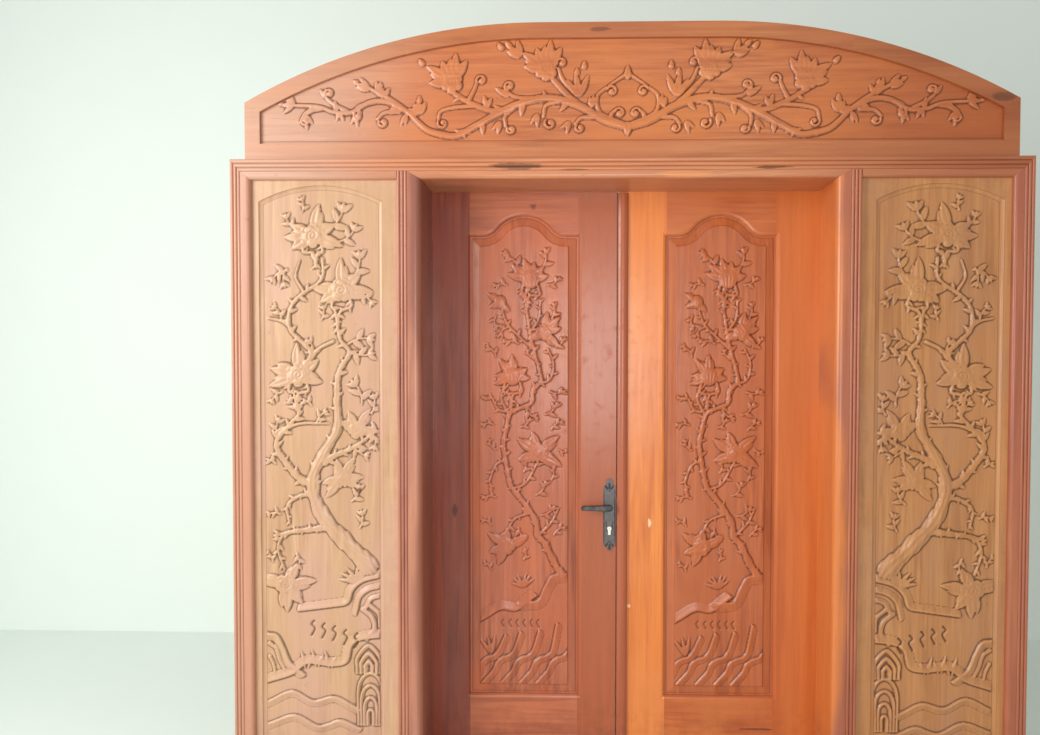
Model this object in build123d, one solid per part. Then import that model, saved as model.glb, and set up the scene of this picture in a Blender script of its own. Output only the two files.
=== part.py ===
from build123d import *
import os
from math import asin, atan2, ceil, cos, degrees, radians, sin, sqrt

# A carved double door in its frame: two leaves between mullions, a carved board on each side
# and an arched carved board on top. Millimetres. X runs across, Y runs away from the carved
# side towards the side that the leaves swing to, and Z is up. The origin is on the floor,
# under the middle of the doorway and in the middle of the frame's depth.

# How far a cutting block runs past the face that it cuts
past = 5.0

# Frame timbers
frame_width = 2940.0
frame_depth = 250.0
head_top = 2330.0
frame_face = 75.0
opening_width = 1520.0
mullion_face = 90.0
sill_rail_height = 100.0
sill_rail_depth = 65.0
jamb_round = 14.0
mullion_round = 26.0
leaf_stop_width = 12.0
mullion_lap_depth = 30.0
tenon_length = 25.0
tenon_thickness = 60.0
tenon_setback = 15.0
joint_play = 0.2

# Reeded strips planted on the frame
jamb_reed_width = 39.0
head_reed_width = 47.0
reed_seat_depth = 12.0
reed_base = 8.0
reed_rise = 6.0
reed_count = 3

# Pediment
pediment_end_margin = 49.0
pediment_height = 498.0
crown_half_width = 328.0
pediment_end_height = 212.5
pediment_setback = 20.0
pediment_thickness = 50.0
arch_rail_width = 56.0
pediment_foot_width = 61.0
crown_joint = 820.0
pediment_panel_setback = 12.0
pediment_panel_thickness = 20.0
panel_tongue = 11.0
groove_depth = 12.0

# Side boards
board_setback = 19.0
board_thickness = 30.0
board_field_sink = 7.0
board_cove_width = 16.0
board_outer_margin = 24.0
board_inner_margin = 57.0
board_foot_margin = 40.0
board_head_margin = 19.0
board_arch_rise = 59.0

# Leaves
leaf_thickness = 40.0
leaf_gap = 3.0
meeting_gap = 4.0
meeting_offset = 30.0
leaf_lift = 8.0
left_hinge_stile_width = 143.0
left_lock_stile_width = 138.0
right_meeting_stile_width = 176.5
bottom_rail_height = 240.0
top_rail_height = 88.0
ogee_rise = 80.0
shoulder_flat = 63.0
ogee_hollow_radius = 60.0
leaf_mould = 14.0
leaf_mould_flats = 3
leaf_back_chamfer = 6.0
leaf_panel_thickness = 14.0
leaf_panel_setback = 13.0
bevel_start = 20.0
field_inset = 52.0
bevel_rise = 8.0
field_step = 3.0
rail_tenon = 40.0
rail_tenon_shoulder = 30.0

# Meeting strip on the right leaf
strip_width = 41.0
strip_proud = 14.0
strip_side = 6.0
strip_head_gap = 7.0

# Butt hinges
hinge_from_foot = 222.0
hinge_from_head = 224.0
hinge_length = 100.0
hinge_plate_thickness = 2.5
hinge_plate_width = 32.0
knuckle_radius = 7.0
knuckle_play = 0.3
knuckle_lift = 0.3
pin_radius = 3.5
pin_play = 0.05
pin_head_rise = 3.0
pin_head_radius = 6.0

# Lock
lever_height = 1014.0
backset = 26.0
cylinder_drop = 85.0
back_plate_width = 48.0
back_plate_thickness = 4.0
back_plate_above_lever = 80.0
back_plate_below_lever = 152.0
crown_rise = 34.0
crown_knob = 13.0
tail_drop = 22.0
tail_knob = 9.0
shoulder_hollow = 0.25
lock_case_height = 200.0
lock_case_depth = 45.0
lock_case_thickness = 14.0
lock_case_above_lever = 56.0
faceplate_height = 240.0
faceplate_width = 22.0
faceplate_thickness = 3.0
lever_length = 111.0
lever_hub_radius = 12.0
lever_tip_radius = 9.0
lever_thickness = 12.0
lever_stand_off = 31.0
lever_neck_radius = 9.0
lever_neck_seat = 3.6
lever_edge_chamfer = 2.5
running_play = 0.05
slide_play = 0.3
spindle_side = 8.0
spindle_hole_radius = 7.0
spindle_room = 4.0
cylinder_room = 1.0
latch_rise = 26.0
latch_height = 16.0
latch_thickness = 11.0
latch_throw = 12.0
latch_body = 34.0
latch_nose = 1.0
latch_flat = 3.0
keep_room = 1.0
dead_bolt_drop = 53.0
dead_bolt_height = 20.0
dead_bolt_throw = 20.0
dead_bolt_body = 34.0
cylinder_radius = 8.5
cylinder_tail_width = 10.0
cylinder_height = 33.0
cylinder_proud = 3.0
plug_radius = 6.0
plug_proud = 1.0
key_slot_width = 1.6
key_slot_height = 8.0
key_slot_depth = 6.0
strike_height = 190.0
strike_thickness = 2.0
strike_pocket_depth = 24.0

# Flush bolts in the right leaf's meeting edge
bolt_radius = 5.0
bolt_case_length = 200.0
bolt_case_width = 18.0
bolt_case_depth = 18.0
bolt_throw = 15.0
bolt_length = 150.0
bolt_slot_width = 5.0
bolt_slot_room = 10.0
bolt_stud_height = 16.0
bolt_stud_sink = 1.0
bolt_socket_depth = 22.0
bolt_socket_room = 1.0
socket_plate_length = 40.0
socket_plate_thickness = 2.0

# Carving: the height of its tall, middle and low forms on each board
side_carving_heights = (12.0, 9.0, 7.0)
leaf_carving_heights = (9.0, 7.0, 5.0)
pediment_carving_heights = (10.0, 8.0, 6.0)
carving_sink = 2.0
leaf_shoulder_share = 0.42
petal_notch = 0.72
boss_taper = 0.55

# Places worked out from the sizes above
front = -frame_depth / 2
back = frame_depth / 2
outer_edge = frame_width / 2
jamb_inner = outer_edge - frame_face
opening_half = opening_width / 2
mullion_outer = opening_half + mullion_face
head_under = head_top - frame_face
reed_seat = front + reed_seat_depth
leaf_front = back - leaf_thickness
rebate_side = opening_half + leaf_stop_width
rebate_top = head_under + leaf_stop_width
hinge_edge = rebate_side - leaf_gap
leaf_top = rebate_top - leaf_gap
board_front = front + board_setback
board_back = board_front + board_thickness
field_plane = board_front + board_field_sink
board_field_width = jamb_inner - mullion_outer - board_outer_margin - board_inner_margin
board_field_foot = sill_rail_height + board_foot_margin
board_apex = head_under - board_head_margin
lock_edge = -meeting_offset - meeting_gap / 2
strip_edge = -meeting_offset + meeting_gap / 2
sight_width = hinge_edge + lock_edge - left_hinge_stile_width - left_lock_stile_width
left_sight_centre = lock_edge - left_lock_stile_width - sight_width / 2
right_sight_centre = strip_edge + right_meeting_stile_width + sight_width / 2
sight_foot = leaf_lift + bottom_rail_height
sight_apex = leaf_top - top_rail_height
sight_shoulder = sight_apex - ogee_rise
bolt_x = strip_edge + bolt_case_depth / 2
low_hinge = leaf_lift + hinge_from_foot
high_hinge = leaf_top - hinge_from_head
hinge_heights = (low_hinge, (low_hinge + high_hinge) / 2, high_hinge)
hinge_axis_x = rebate_side - leaf_gap / 2
hinge_axis_y = back + knuckle_radius + knuckle_lift
lever_x = lock_edge - backset
leaf_middle = (leaf_front + back) / 2
cylinder_z = lever_height - cylinder_drop
latch_z = lever_height + latch_rise
dead_bolt_z = lever_height - dead_bolt_drop
panel_plane = leaf_front + leaf_panel_setback
leaf_field_plane = panel_plane - bevel_rise - field_step
pediment_width = frame_width - 2 * pediment_end_margin
pediment_top = head_top + pediment_height
pediment_foot = head_top + pediment_foot_width
haunch_run = pediment_width / 2 - crown_half_width
haunch_drop = pediment_height - pediment_end_height
haunch_radius = (haunch_run**2 + haunch_drop**2) / (2 * haunch_drop)
pediment_front = front + pediment_setback
pediment_back = pediment_front + pediment_thickness
pediment_plane = pediment_front + pediment_panel_setback
strike_centre = (latch_z + dead_bolt_z) / 2

UP = (0, 0, 1)
INTO = (0, 1, 0)
BY_X = (1, 0, 0)


# Small builders
def block(x0, x1, y0, y1, z0, z1):
    """A box between six planes."""
    size = Box(x1 - x0, y1 - y0, z1 - z0)
    return Pos((x0 + x1) / 2, (y0 + y1) / 2, (z0 + z1) / 2) * size


def rod(centre, axis, radius, length):
    """A round bar that starts at centre and runs along axis."""
    return Solid.make_cylinder(radius, length, Plane(origin=centre, z_dir=axis))


def line(a, b):
    return Edge.make_line(a, b)


def lines(points):
    """Straight edges from each point to the next."""
    return [line(a, b) for a, b in zip(points, points[1:])]


def arc(a, through, b):
    return Edge.make_three_point_arc(a, through, b)


def polygon(points):
    return Face(Wire.make_polygon(points, close=True))


def mirrored(solid):
    """The same piece on the other side of the doorway."""
    return solid.mirror(Plane.YZ)


def whole(shape):
    """One plain solid from the result of an operation."""
    return shape.solids()[0] if len(shape.solids()) == 1 else shape


# Outlines in the plane of the door
def board_outline(centre, inset, y):
    """A side board's field: straight sides, a level foot and a segmental arch."""
    half = board_field_width / 2 - inset
    foot = board_field_foot + inset
    rise = board_arch_rise
    half_full = board_field_width / 2
    radius = (half_full**2 + rise**2) / (2 * rise)
    arch_centre = board_apex - radius
    radius -= inset
    shoulder = arch_centre + sqrt(radius**2 - half**2)
    corner = [(centre + s * half, y, z) for s, z in ((-1, shoulder), (-1, foot), (1, foot), (1, shoulder))]
    crown = (centre, y, arch_centre + radius)
    sides = lines(corner)
    return Face(Wire(sides + [arc(corner[3], crown, corner[0])]))


def ogee_outline(centre, inset, y):
    """A leaf's panel opening: level shoulders that sweep up through a hollow into a round crown."""
    half = sight_width / 2
    span = half - shoulder_flat
    rise = sight_apex - sight_shoulder
    turn = 2 * atan2(rise, span)
    crown_radius = span / sin(turn) - ogee_hollow_radius - inset
    hollow_radius = ogee_hollow_radius + inset
    shoulder = sight_shoulder - inset
    crown_z = sight_apex - inset
    side = half - inset
    foot = sight_foot + inset

    def hollow(share):
        a = turn * share
        return span - hollow_radius * sin(a), shoulder + hollow_radius * (1 - cos(a))

    def place(sign, u, z):
        return (centre + sign * u, y, z)

    edges = [line(place(-1, side, foot), place(1, side, foot))]
    edges += [line(place(1, side, foot), place(1, side, shoulder))]
    edges += [line(place(1, side, shoulder), place(1, span, shoulder))]
    edges += [arc(place(1, span, shoulder), place(1, *hollow(0.5)), place(1, *hollow(1)))]
    edges += [arc(place(1, *hollow(1)), place(1, 0, crown_z), place(-1, *hollow(1)))]
    edges += [arc(place(-1, *hollow(1)), place(-1, *hollow(0.5)), place(-1, span, shoulder))]
    edges += [line(place(-1, span, shoulder), place(-1, side, shoulder))]
    edges += [line(place(-1, side, shoulder), place(-1, side, foot))]
    return Face(Wire(edges))


def pediment_outline(inset, foot, y):
    """The pediment: a level crown that curves down on each side to short upright ends."""
    half = pediment_width / 2 - inset
    radius = haunch_radius - inset
    centre_z = pediment_top - haunch_radius
    crown_z = pediment_top - inset

    def haunch(u):
        return centre_z + sqrt(radius**2 - (u - crown_half_width) ** 2)

    middle = (half + crown_half_width) / 2
    ends = lines([(-half, y, haunch(half)), (-half, y, foot), (half, y, foot), (half, y, haunch(half))])
    right = arc((half, y, haunch(half)), (middle, y, haunch(middle)), (crown_half_width, y, crown_z))
    crown = line((crown_half_width, y, crown_z), (-crown_half_width, y, crown_z))
    left = arc((-crown_half_width, y, crown_z), (-middle, y, haunch(middle)), (-half, y, haunch(half)))
    return Face(Wire(ends + [right, crown, left]))


def slab(face, thickness):
    """A plate from an outline in the plane of the door, running away from the carved side."""
    return extrude(face, amount=thickness, dir=INTO)


# Carving: every form is raised from a ground plane and sinks a little way into it
class Ground:
    """The plane that carving stands on. u is across, v is up and h is how far it stands out."""

    def __init__(self, centre, plane, half, foot, apex, hand=1):
        self.centre = centre
        self.plane = plane
        self.field = (half, foot, apex)
        self.hand = hand

    def drawn_for(self, half, foot, apex):
        """Spread a drawing that fills a field of this half width, foot and apex over the real field."""
        self.across = self.field[0] / half
        self.up = (self.field[2] - self.field[1]) / (apex - foot)
        self.drawn_foot = foot

    def place(self, u, v, h):
        z = self.field[1] + (v - self.drawn_foot) * self.up
        return Vector(self.centre + self.hand * u * self.across, self.plane - h, z)

    def solid(self, points, sides):
        """A solid from its corners (u, v, h) and the corners that each flat side joins."""
        corners = [self.place(*point) for point in points]
        solid = Solid(Shell([polygon([corners[i] for i in side]) for side in sides]))
        if solid.volume < 0:
            solid = Solid(Shell([polygon([corners[i] for i in reversed(side)]) for side in sides]))
        return solid


def around(u, v, heading, radius, h):
    """A point at a heading and a radius from a flower's or a leaf's place."""
    return (u + radius * cos(radians(heading)), v + radius * sin(radians(heading)), h)


def blade(ground, u, v, heading, length, width, height):
    """A pointed leaf cut to a crest, with four facets."""
    shoulder = leaf_shoulder_share * length
    lean = degrees(atan2(width / 2, shoulder))
    reach = sqrt(shoulder**2 + (width / 2) ** 2)
    points = [(u, v, -carving_sink), around(u, v, heading + lean, reach, -carving_sink)]
    points.append(around(u, v, heading, length, -carving_sink))
    points.append(around(u, v, heading - lean, reach, -carving_sink))
    points.append(around(u, v, heading, shoulder, height))
    return ground.solid(points, [(0, 1, 4), (1, 2, 4), (2, 3, 4), (3, 0, 4), (3, 2, 1, 0)])


def rosette(ground, u, v, radius, height, turn, petals):
    """A ring of blunt petals that rise to one peak."""
    pitch = 360 / petals
    rim = []
    for i in range(petals):
        heading = turn + pitch * i
        rim.append(around(u, v, heading - pitch * 0.22, radius, -carving_sink))
        rim.append(around(u, v, heading + pitch * 0.22, radius, -carving_sink))
        rim.append(around(u, v, heading + pitch / 2, radius * petal_notch, -carving_sink))
    count = len(rim)
    sides = [(i, (i + 1) % count, count) for i in range(count)]
    return ground.solid(rim + [(u, v, height)], sides + [tuple(reversed(range(count)))])


def boss(ground, u, v, radius, height, turn, sides=5):
    """A flower's closed heart, cut as a blunt cone."""
    pitch = 360 / sides
    low = [around(u, v, turn + pitch * i, radius, -carving_sink) for i in range(sides)]
    top = [around(u, v, turn + pitch * i, radius * boss_taper, height) for i in range(sides)]
    walls = [(i, (i + 1) % sides, (i + 1) % sides + sides, i + sides) for i in range(sides)]
    floor = tuple(reversed(range(sides)))
    return ground.solid(low + top, walls + [floor, tuple(range(sides, 2 * sides))])


def flower(ground, u, v, radius, height, turn, sepals, petals=5):
    """A rose: a heart, a ring of petals, and long pointed leaves at the headings in sepals."""
    pieces = [rosette(ground, u, v, radius, height, turn, petals)]
    pieces.append(boss(ground, u, v, radius * 0.45, height, turn + 180 / petals, petals))
    for heading in sepals:
        x, z, _ = around(u, v, heading, radius * 0.6, 0)
        pieces.append(blade(ground, x, z, heading, radius * 1.8, radius * 0.75, height * 0.65))
    return pieces


def stem(ground, route, start, end, height, step=75.0):
    """A crested branch along a smooth line through the route, from one half width to the other."""
    path = Spline([(u, v, 0) for u, v in route])
    count = max(2, ceil(path.length / step))
    points = []
    for i in range(count + 1):
        here = path.position_at(i / count)
        ahead = path.tangent_at(i / count)
        half = start + (end - start) * i / count
        crest = height * (0.6 + 0.4 * half / max(start, end))
        points.append((here.X - ahead.Y * half, here.Y + ahead.X * half, -carving_sink))
        points.append((here.X + ahead.Y * half, here.Y - ahead.X * half, -carving_sink))
        points.append((here.X, here.Y, crest))
    triangles = [(0, 2, 1)]
    for i in range(count):
        a, b, c, d, e, f = range(3 * i, 3 * i + 6)
        triangles += [(a, d, c), (c, d, f), (c, f, b), (b, f, e), (b, e, a), (a, e, d)]
    last = 3 * count
    triangles.append((last, last + 1, last + 2))
    return ground.solid(points, triangles)


def sprig(ground, u, v, headings, length, width, height):
    """Small leaves that spring from one point."""
    return [blade(ground, u, v, heading, length, width, height) for heading in headings]


def side_carving(ground):
    """The flowering tree on a side board, from the rocks at its foot to its top flower."""
    ground.drawn_for(232, 140, 2236)
    tall, mid, low = side_carving_heights
    cut = []
    trunk = [(178, 812), (80, 912), (8, 994), (-32, 1082), (-30, 1168), (12, 1250), (58, 1336), (56, 1440)]
    cut.append(stem(ground, trunk, 34, 14, tall, 90))
    cut.append(stem(ground, [(56, 1430), (64, 1540), (104, 1616), (74, 1660), (62, 1700)], 14, 7, mid, 80))
    route = [(-28, 1128), (-80, 1140), (-156, 1230), (-172, 1284), (-132, 1336), (-78, 1396)]
    cut.append(stem(ground, route, 17, 6, mid, 80))
    cut.append(stem(ground, [(-140, 1330), (-80, 1352), (26, 1352)], 7, 4, low, 80))
    cut.append(stem(ground, [(8, 1204), (40, 1228), (124, 1266), (204, 1324)], 13, 5, mid, 80))
    cut.append(stem(ground, [(-40, 1084), (-90, 1078), (-134, 1040), (-126, 980)], 9, 5, low, 80))
    cut.append(stem(ground, [(34, 962), (-20, 956), (-104, 946), (-184, 928)], 15, 6, mid, 80))
    cut.append(stem(ground, [(-150, 934), (-166, 880), (-140, 800)], 6, 5, low, 80))
    route = [(-64, 1570), (-40, 1620), (-112, 1696), (-122, 1764), (-88, 1822), (0, 1890), (6, 1966)]
    cut.append(stem(ground, route, 10, 6, mid))
    cut.append(stem(ground, [(66, 1690), (34, 1716), (36, 1780)], 7, 5, low, 80))
    cut.append(stem(ground, [(64, 1680), (112, 1740), (100, 1790)], 8, 5, low, 80))
    cut.append(stem(ground, [(44, 1660), (-10, 1632), (-34, 1596)], 6, 6, low, 80))
    cut.append(stem(ground, [(-106, 1700), (-150, 1734), (-200, 1746)], 6, 4, low, 80))
    cut.append(stem(ground, [(-70, 1850), (-96, 1900), (-80, 1960)], 6, 4, low, 80))
    cut += flower(ground, -30, 2052, 46, tall, 90, (72, 20, -12, 145, 185, 208))
    cut += flower(ground, 76, 1850, 46, tall, 60, (98, 38, 8, -18, 170, 205))
    cut += flower(ground, -88, 1534, 46, tall, 90, (100, 30, 150, 185, 215, -30))
    cut += flower(ground, 130, 1330, 34, mid, 40, (60, 110, 0), 4)
    cut += flower(ground, 72, 1146, 36, mid, 20, (60, 100, 10, -60, 230), 4)
    cut += flower(ground, -138, 742, 42, tall, 70, (10, 60, 170, 235, 265, 300))
    cut += sprig(ground, -134, 1912, (115, 215, 250, 290, 330), 76, 26, low)
    cut += sprig(ground, 118, 1660, (42, 8, -28, -60), 88, 32, low)
    cut += sprig(ground, 108, 1950, (62, 30, 88), 82, 24, low)
    cut += sprig(ground, 72, 2060, (95, 38, 12), 86, 22, low)
    cut += sprig(ground, -98, 2074, (132, 160), 60, 24, low)
    cut += sprig(ground, 178, 1500, (110, 60, 240), 64, 24, low)
    cut += sprig(ground, -30, 1590, (80, 35), 60, 20, low)
    cut += sprig(ground, -170, 1300, (120, 75, 200), 60, 20, low)
    cut += sprig(ground, 100, 1270, (100, 20), 54, 18, low)
    cut += sprig(ground, 128, 760, (130, 100, 70, 160), 70, 14, low)
    cut.append(stem(ground, [(206, 730), (130, 726), (88, 640), (-60, 606)], 13, 9, mid, 90))
    cut.append(stem(ground, [(214, 650), (150, 652), (110, 590)], 9, 8, low, 80))
    route = [(214, 560), (176, 500), (110, 500), (78, 436), (-60, 442), (-150, 386), (-206, 376)]
    cut.append(stem(ground, route, 13, 9, mid, 90))
    cut.append(stem(ground, [(-214, 530), (-160, 516), (-130, 430)], 10, 8, low, 80))
    cut.append(stem(ground, [(130, 196), (124, 340), (170, 400), (212, 330)], 12, 8, mid, 90))
    cut.append(stem(ground, [(-206, 250), (-120, 300), (-40, 240), (40, 292), (110, 236)], 11, 8, low, 90))
    return cut


def leaf_carving(ground):
    """The flowering tree on a leaf's raised panel."""
    ground.drawn_for(228, 248, 2176)
    tall, mid, low = leaf_carving_heights
    cut = []
    route = [(116, 806), (84, 868), (56, 900), (48, 956), (4, 1026), (-50, 1096), (-62, 1152)]
    cut.append(stem(ground, route, 15, 10, mid, 80))
    trunk = [(-62, 1140), (-80, 1254), (-70, 1318), (-50, 1388), (28, 1424), (36, 1474), (68, 1512),
             (60, 1566)]
    cut.append(stem(ground, trunk, 10, 8, mid, 80))
    cut.append(stem(ground, [(62, 1556), (40, 1636), (26, 1700), (8, 1836), (20, 1900)], 8, 5, low, 80))
    cut.append(stem(ground, [(36, 1640), (-30, 1700), (-80, 1760), (-92, 1812)], 6, 4, low, 80))
    cut.append(stem(ground, [(-48, 1390), (-100, 1400), (-128, 1450)], 6, 4, low, 80))
    cut.append(stem(ground, [(-72, 1200), (-110, 1180), (-136, 1120)], 6, 4, low, 80))
    cut.append(stem(ground, [(-40, 1086), (10, 1110), (56, 1190)], 6, 4, low, 80))
    cut.append(stem(ground, [(30, 990), (-40, 960), (-76, 880)], 6, 4, low, 80))
    cut.append(stem(ground, [(70, 1520), (110, 1560), (120, 1620)], 5, 4, low, 80))
    cut += flower(ground, 26, 1912, 34, tall, 90, (55, 20, 110, 160, 195))
    cut += flower(ground, -94, 1824, 24, mid, 90, (140, 240), 4)
    cut += flower(ground, 80, 1710, 34, tall, 40, (70, 30, 0, 150, 200))
    cut += flower(ground, -44, 1530, 34, tall, 60, (130, 170, 210, 20))
    cut += flower(ground, 56, 1228, 38, tall, 20, (40, 100, 150, 200, -20))
    cut += flower(ground, -68, 856, 34, tall, 50, (150, 200, 250, 80))
    cut += sprig(ground, -76, 2000, (118, 150, 80), 58, 20, low)
    cut += sprig(ground, 96, 2000, (78, 110, 45), 58, 20, low)
    cut += sprig(ground, 124, 1640, (80, 40, -30), 52, 18, low)
    cut += sprig(ground, -124, 1660, (90, 140, 220), 52, 18, low)
    cut += sprig(ground, -126, 1440, (110, 60, 200), 52, 18, low)
    cut += sprig(ground, 104, 1420, (80, 30, -20), 56, 20, low)
    cut += sprig(ground, -130, 1130, (110, 230, 270), 52, 18, low)
    cut += sprig(ground, 104, 1060, (80, 20, -40), 56, 20, low)
    cut += sprig(ground, 4, 700, (130, 100, 70, 40), 62, 12, low)
    cut += sprig(ground, 120, 980, (60, -30), 50, 18, low)
    cut.append(stem(ground, [(160, 744), (94, 724), (50, 646), (-70, 594), (-150, 600)], 10, 7, mid, 80))
    route = [(-160, 520), (-100, 560), (-60, 500), (0, 540), (70, 500), (156, 540)]
    cut.append(stem(ground, route, 9, 7, low, 80))
    route = [(-160, 352), (-110, 420), (-62, 448), (-20, 380), (40, 372), (94, 432), (150, 500)]
    cut.append(stem(ground, route, 10, 7, mid, 80))
    return cut


def pediment_half(ground):
    """The scrolling stem that fills one half of the pediment."""
    ground.drawn_for(1365, 2391, 2772)
    tall, mid, low = pediment_carving_heights
    cut = []
    main = [(76, 2468), (180, 2530), (290, 2556), (396, 2540), (500, 2506), (560, 2456), (614, 2434),
            (690, 2436)]
    cut.append(stem(ground, main, 10, 9, mid, 80))
    outer = [(680, 2434), (748, 2444), (806, 2500), (884, 2548), (964, 2540), (1030, 2506), (1110, 2516),
             (1230, 2532)]
    cut.append(stem(ground, outer, 9, 5, mid, 80))
    cut.append(stem(ground, [(40, 2480), (96, 2500), (110, 2570), (60, 2590)], 8, 5, low, 60))
    cut.append(stem(ground, [(20, 2470), (60, 2500), (36, 2516)], 8, 4, low, 55))
    cut.append(stem(ground, [(2, 2644), (70, 2606), (52, 2566), (20, 2578)], 8, 4, mid, 55))
    cut.append(stem(ground, [(230, 2548), (262, 2600), (300, 2640)], 7, 5, low, 80))
    cut.append(stem(ground, [(180, 2530), (150, 2590), (150, 2660)], 6, 4, low, 70))
    cut.append(stem(ground, [(470, 2520), (560, 2560), (640, 2590)], 7, 5, low, 80))
    cut.append(stem(ground, [(640, 2580), (730, 2610), (770, 2670)], 6, 4, low, 80))
    cut.append(stem(ground, [(352, 2546), (300, 2500), (276, 2452)], 6, 4, low, 70))
    cut.append(stem(ground, [(420, 2534), (420, 2480), (424, 2440)], 6, 4, low, 70))
    cut.append(stem(ground, [(830, 2520), (850, 2490), (900, 2464)], 6, 4, low, 70))
    cut.append(stem(ground, [(930, 2548), (990, 2510), (976, 2478)], 6, 4, low, 55))
    cut.append(stem(ground, [(1010, 2512), (1040, 2560), (1084, 2586), (1130, 2584)], 6, 4, low, 70))
    cut.append(stem(ground, [(1110, 2516), (1160, 2480), (1240, 2458)], 5, 4, low, 80))
    cut += flower(ground, 300, 2664, 44, tall, 90, (35, 62, 92, 122, 150))
    cut += flower(ground, 648, 2604, 44, tall, 90, (30, 60, 92, 128, 160))
    cut += sprig(ground, 150, 2650, (70, 110, 20), 52, 20, low)
    cut += sprig(ground, 196, 2500, (250, 285, 320), 58, 18, low)
    cut += sprig(ground, 424, 2470, (230, 270, 310), 52, 18, low)
    cut += sprig(ground, 400, 2560, (40, 75), 62, 20, low)
    cut += sprig(ground, 470, 2600, (70, 30), 56, 18, low)
    cut += sprig(ground, 760, 2650, (80, 40, 120), 52, 20, low)
    cut += sprig(ground, 900, 2560, (40, 75, 110), 64, 22, low)
    cut += sprig(ground, 890, 2480, (215, 260, 320), 50, 16, low)
    cut += sprig(ground, 560, 2450, (190, 150), 52, 18, low)
    cut += sprig(ground, 1080, 2570, (30, 150, 90), 46, 16, low)
    cut += sprig(ground, 1196, 2530, (60, 20, -20), 54, 18, low)
    cut += sprig(ground, 1180, 2480, (-30, 20), 60, 16, low)
    return cut


def pediment_middle(ground):
    """The leaf above and the drop below the place where the two stems meet."""
    mid = pediment_carving_heights[1]
    return [blade(ground, 0, 2490, 270, 50, 26, mid), blade(ground, 0, 2610, 90, 56, 24, mid)]


def carve(board, pieces):
    """Join the raised forms to the board that they are cut from."""
    return whole(board.fuse(*pieces))


# Frame timbers
def jamb():
    """The right jamb, mitred to the head."""
    y_round = front + jamb_round
    corner = jamb_round * (1 - sqrt(0.5))
    seat_x = outer_edge - jamb_reed_width
    corners = [(jamb_inner, y_round, 0), (jamb_inner, back, 0), (outer_edge, back, 0),
               (outer_edge, reed_seat, 0)]
    corners += [(seat_x, reed_seat, 0), (seat_x, front, 0), (jamb_inner + jamb_round, front, 0)]
    rounding = arc(corners[-1], (jamb_inner + corner, front + corner, 0), corners[0])
    post = extrude(Face(Wire([*lines(corners), rounding])), amount=head_top, dir=UP)
    post -= corner_wedge(1)
    post -= block(jamb_inner, outer_edge, front - past, reed_seat, head_top - head_reed_width, head_top)
    post -= board_groove()
    return whole(post)


def corner_wedge(side):
    """What the mitre takes off the jamb (side 1) or off the head (side -1)."""
    y = front - reed_base - reed_rise
    inner = (jamb_inner - frame_face, y, head_under - frame_face)
    outer = (outer_edge + frame_face, y, head_top + frame_face)
    third = (inner[0], y, outer[2]) if side > 0 else (outer[0], y, inner[2])
    return extrude(polygon([inner, outer, third]), amount=back + past - y, dir=INTO)


def board_groove():
    """The groove round a side board, in the jamb, the mullion, the head and the sill rail."""
    x0 = mullion_outer - groove_depth
    x1 = jamb_inner + groove_depth
    z0 = sill_rail_height - groove_depth
    z1 = head_under + groove_depth
    return block(x0, x1, board_front - joint_play, board_back + joint_play, z0, z1)


def mullion():
    """The right mullion: a lap mitred into the head's face, a tenon behind it, and a rebate for the leaf."""
    y_round = front + mullion_round
    corner = mullion_round * (1 - sqrt(0.5))
    seat_x = mullion_outer - jamb_reed_width
    points = [(mullion_outer, back), (mullion_outer, reed_seat), (seat_x, reed_seat), (seat_x, front)]
    points.append((opening_half + mullion_round, front))
    edges = lines([(*point, 0) for point in points])
    edges += [arc((*points[-1], 0), (opening_half + corner, front + corner, 0), (opening_half, y_round, 0))]
    y_rebate = leaf_front - joint_play
    rest = [(opening_half, y_round), (opening_half, y_rebate), (rebate_side, y_rebate)]
    rest += [(rebate_side, back), (mullion_outer, back)]
    edges += lines([(*point, 0) for point in rest])
    post = extrude(Face(Wire(edges)), amount=head_under, dir=UP)
    lap = extrude(Face(Wire(edges)), amount=head_top - head_reed_width, dir=UP) & lap_prism(0)
    post = post + lap + mullion_tenon(0)
    post -= board_groove()
    for z in hinge_heights:
        low, high = z - hinge_length / 2 - joint_play, z + hinge_length / 2 + joint_play
        plate_side = rebate_side + hinge_plate_thickness
        post -= block(rebate_side - past, plate_side, back - hinge_plate_width, back + past, low, high)
    return whole(post)


def lap_prism(play):
    """The mitred lap at a mullion's head, seen from the front as a blunt wedge."""
    top = head_top - head_reed_width
    seat_x = mullion_outer - jamb_reed_width
    bottom = head_under - past
    foot = [(opening_half - play, bottom), (opening_half - play, head_under), (seat_x, top + play)]
    foot += [(mullion_outer + play, top + play), (mullion_outer + play, bottom)]
    face = polygon([(x, front - past, z) for x, z in foot])
    return extrude(face, amount=mullion_lap_depth + past + play, dir=INTO)


def mullion_tenon(play):
    x0 = opening_half + tenon_setback - play
    x1 = mullion_outer - tenon_setback + play
    half = tenon_thickness / 2 + play
    return block(x0, x1, -half, half, head_under - past, head_under + tenon_length + play)


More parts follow.
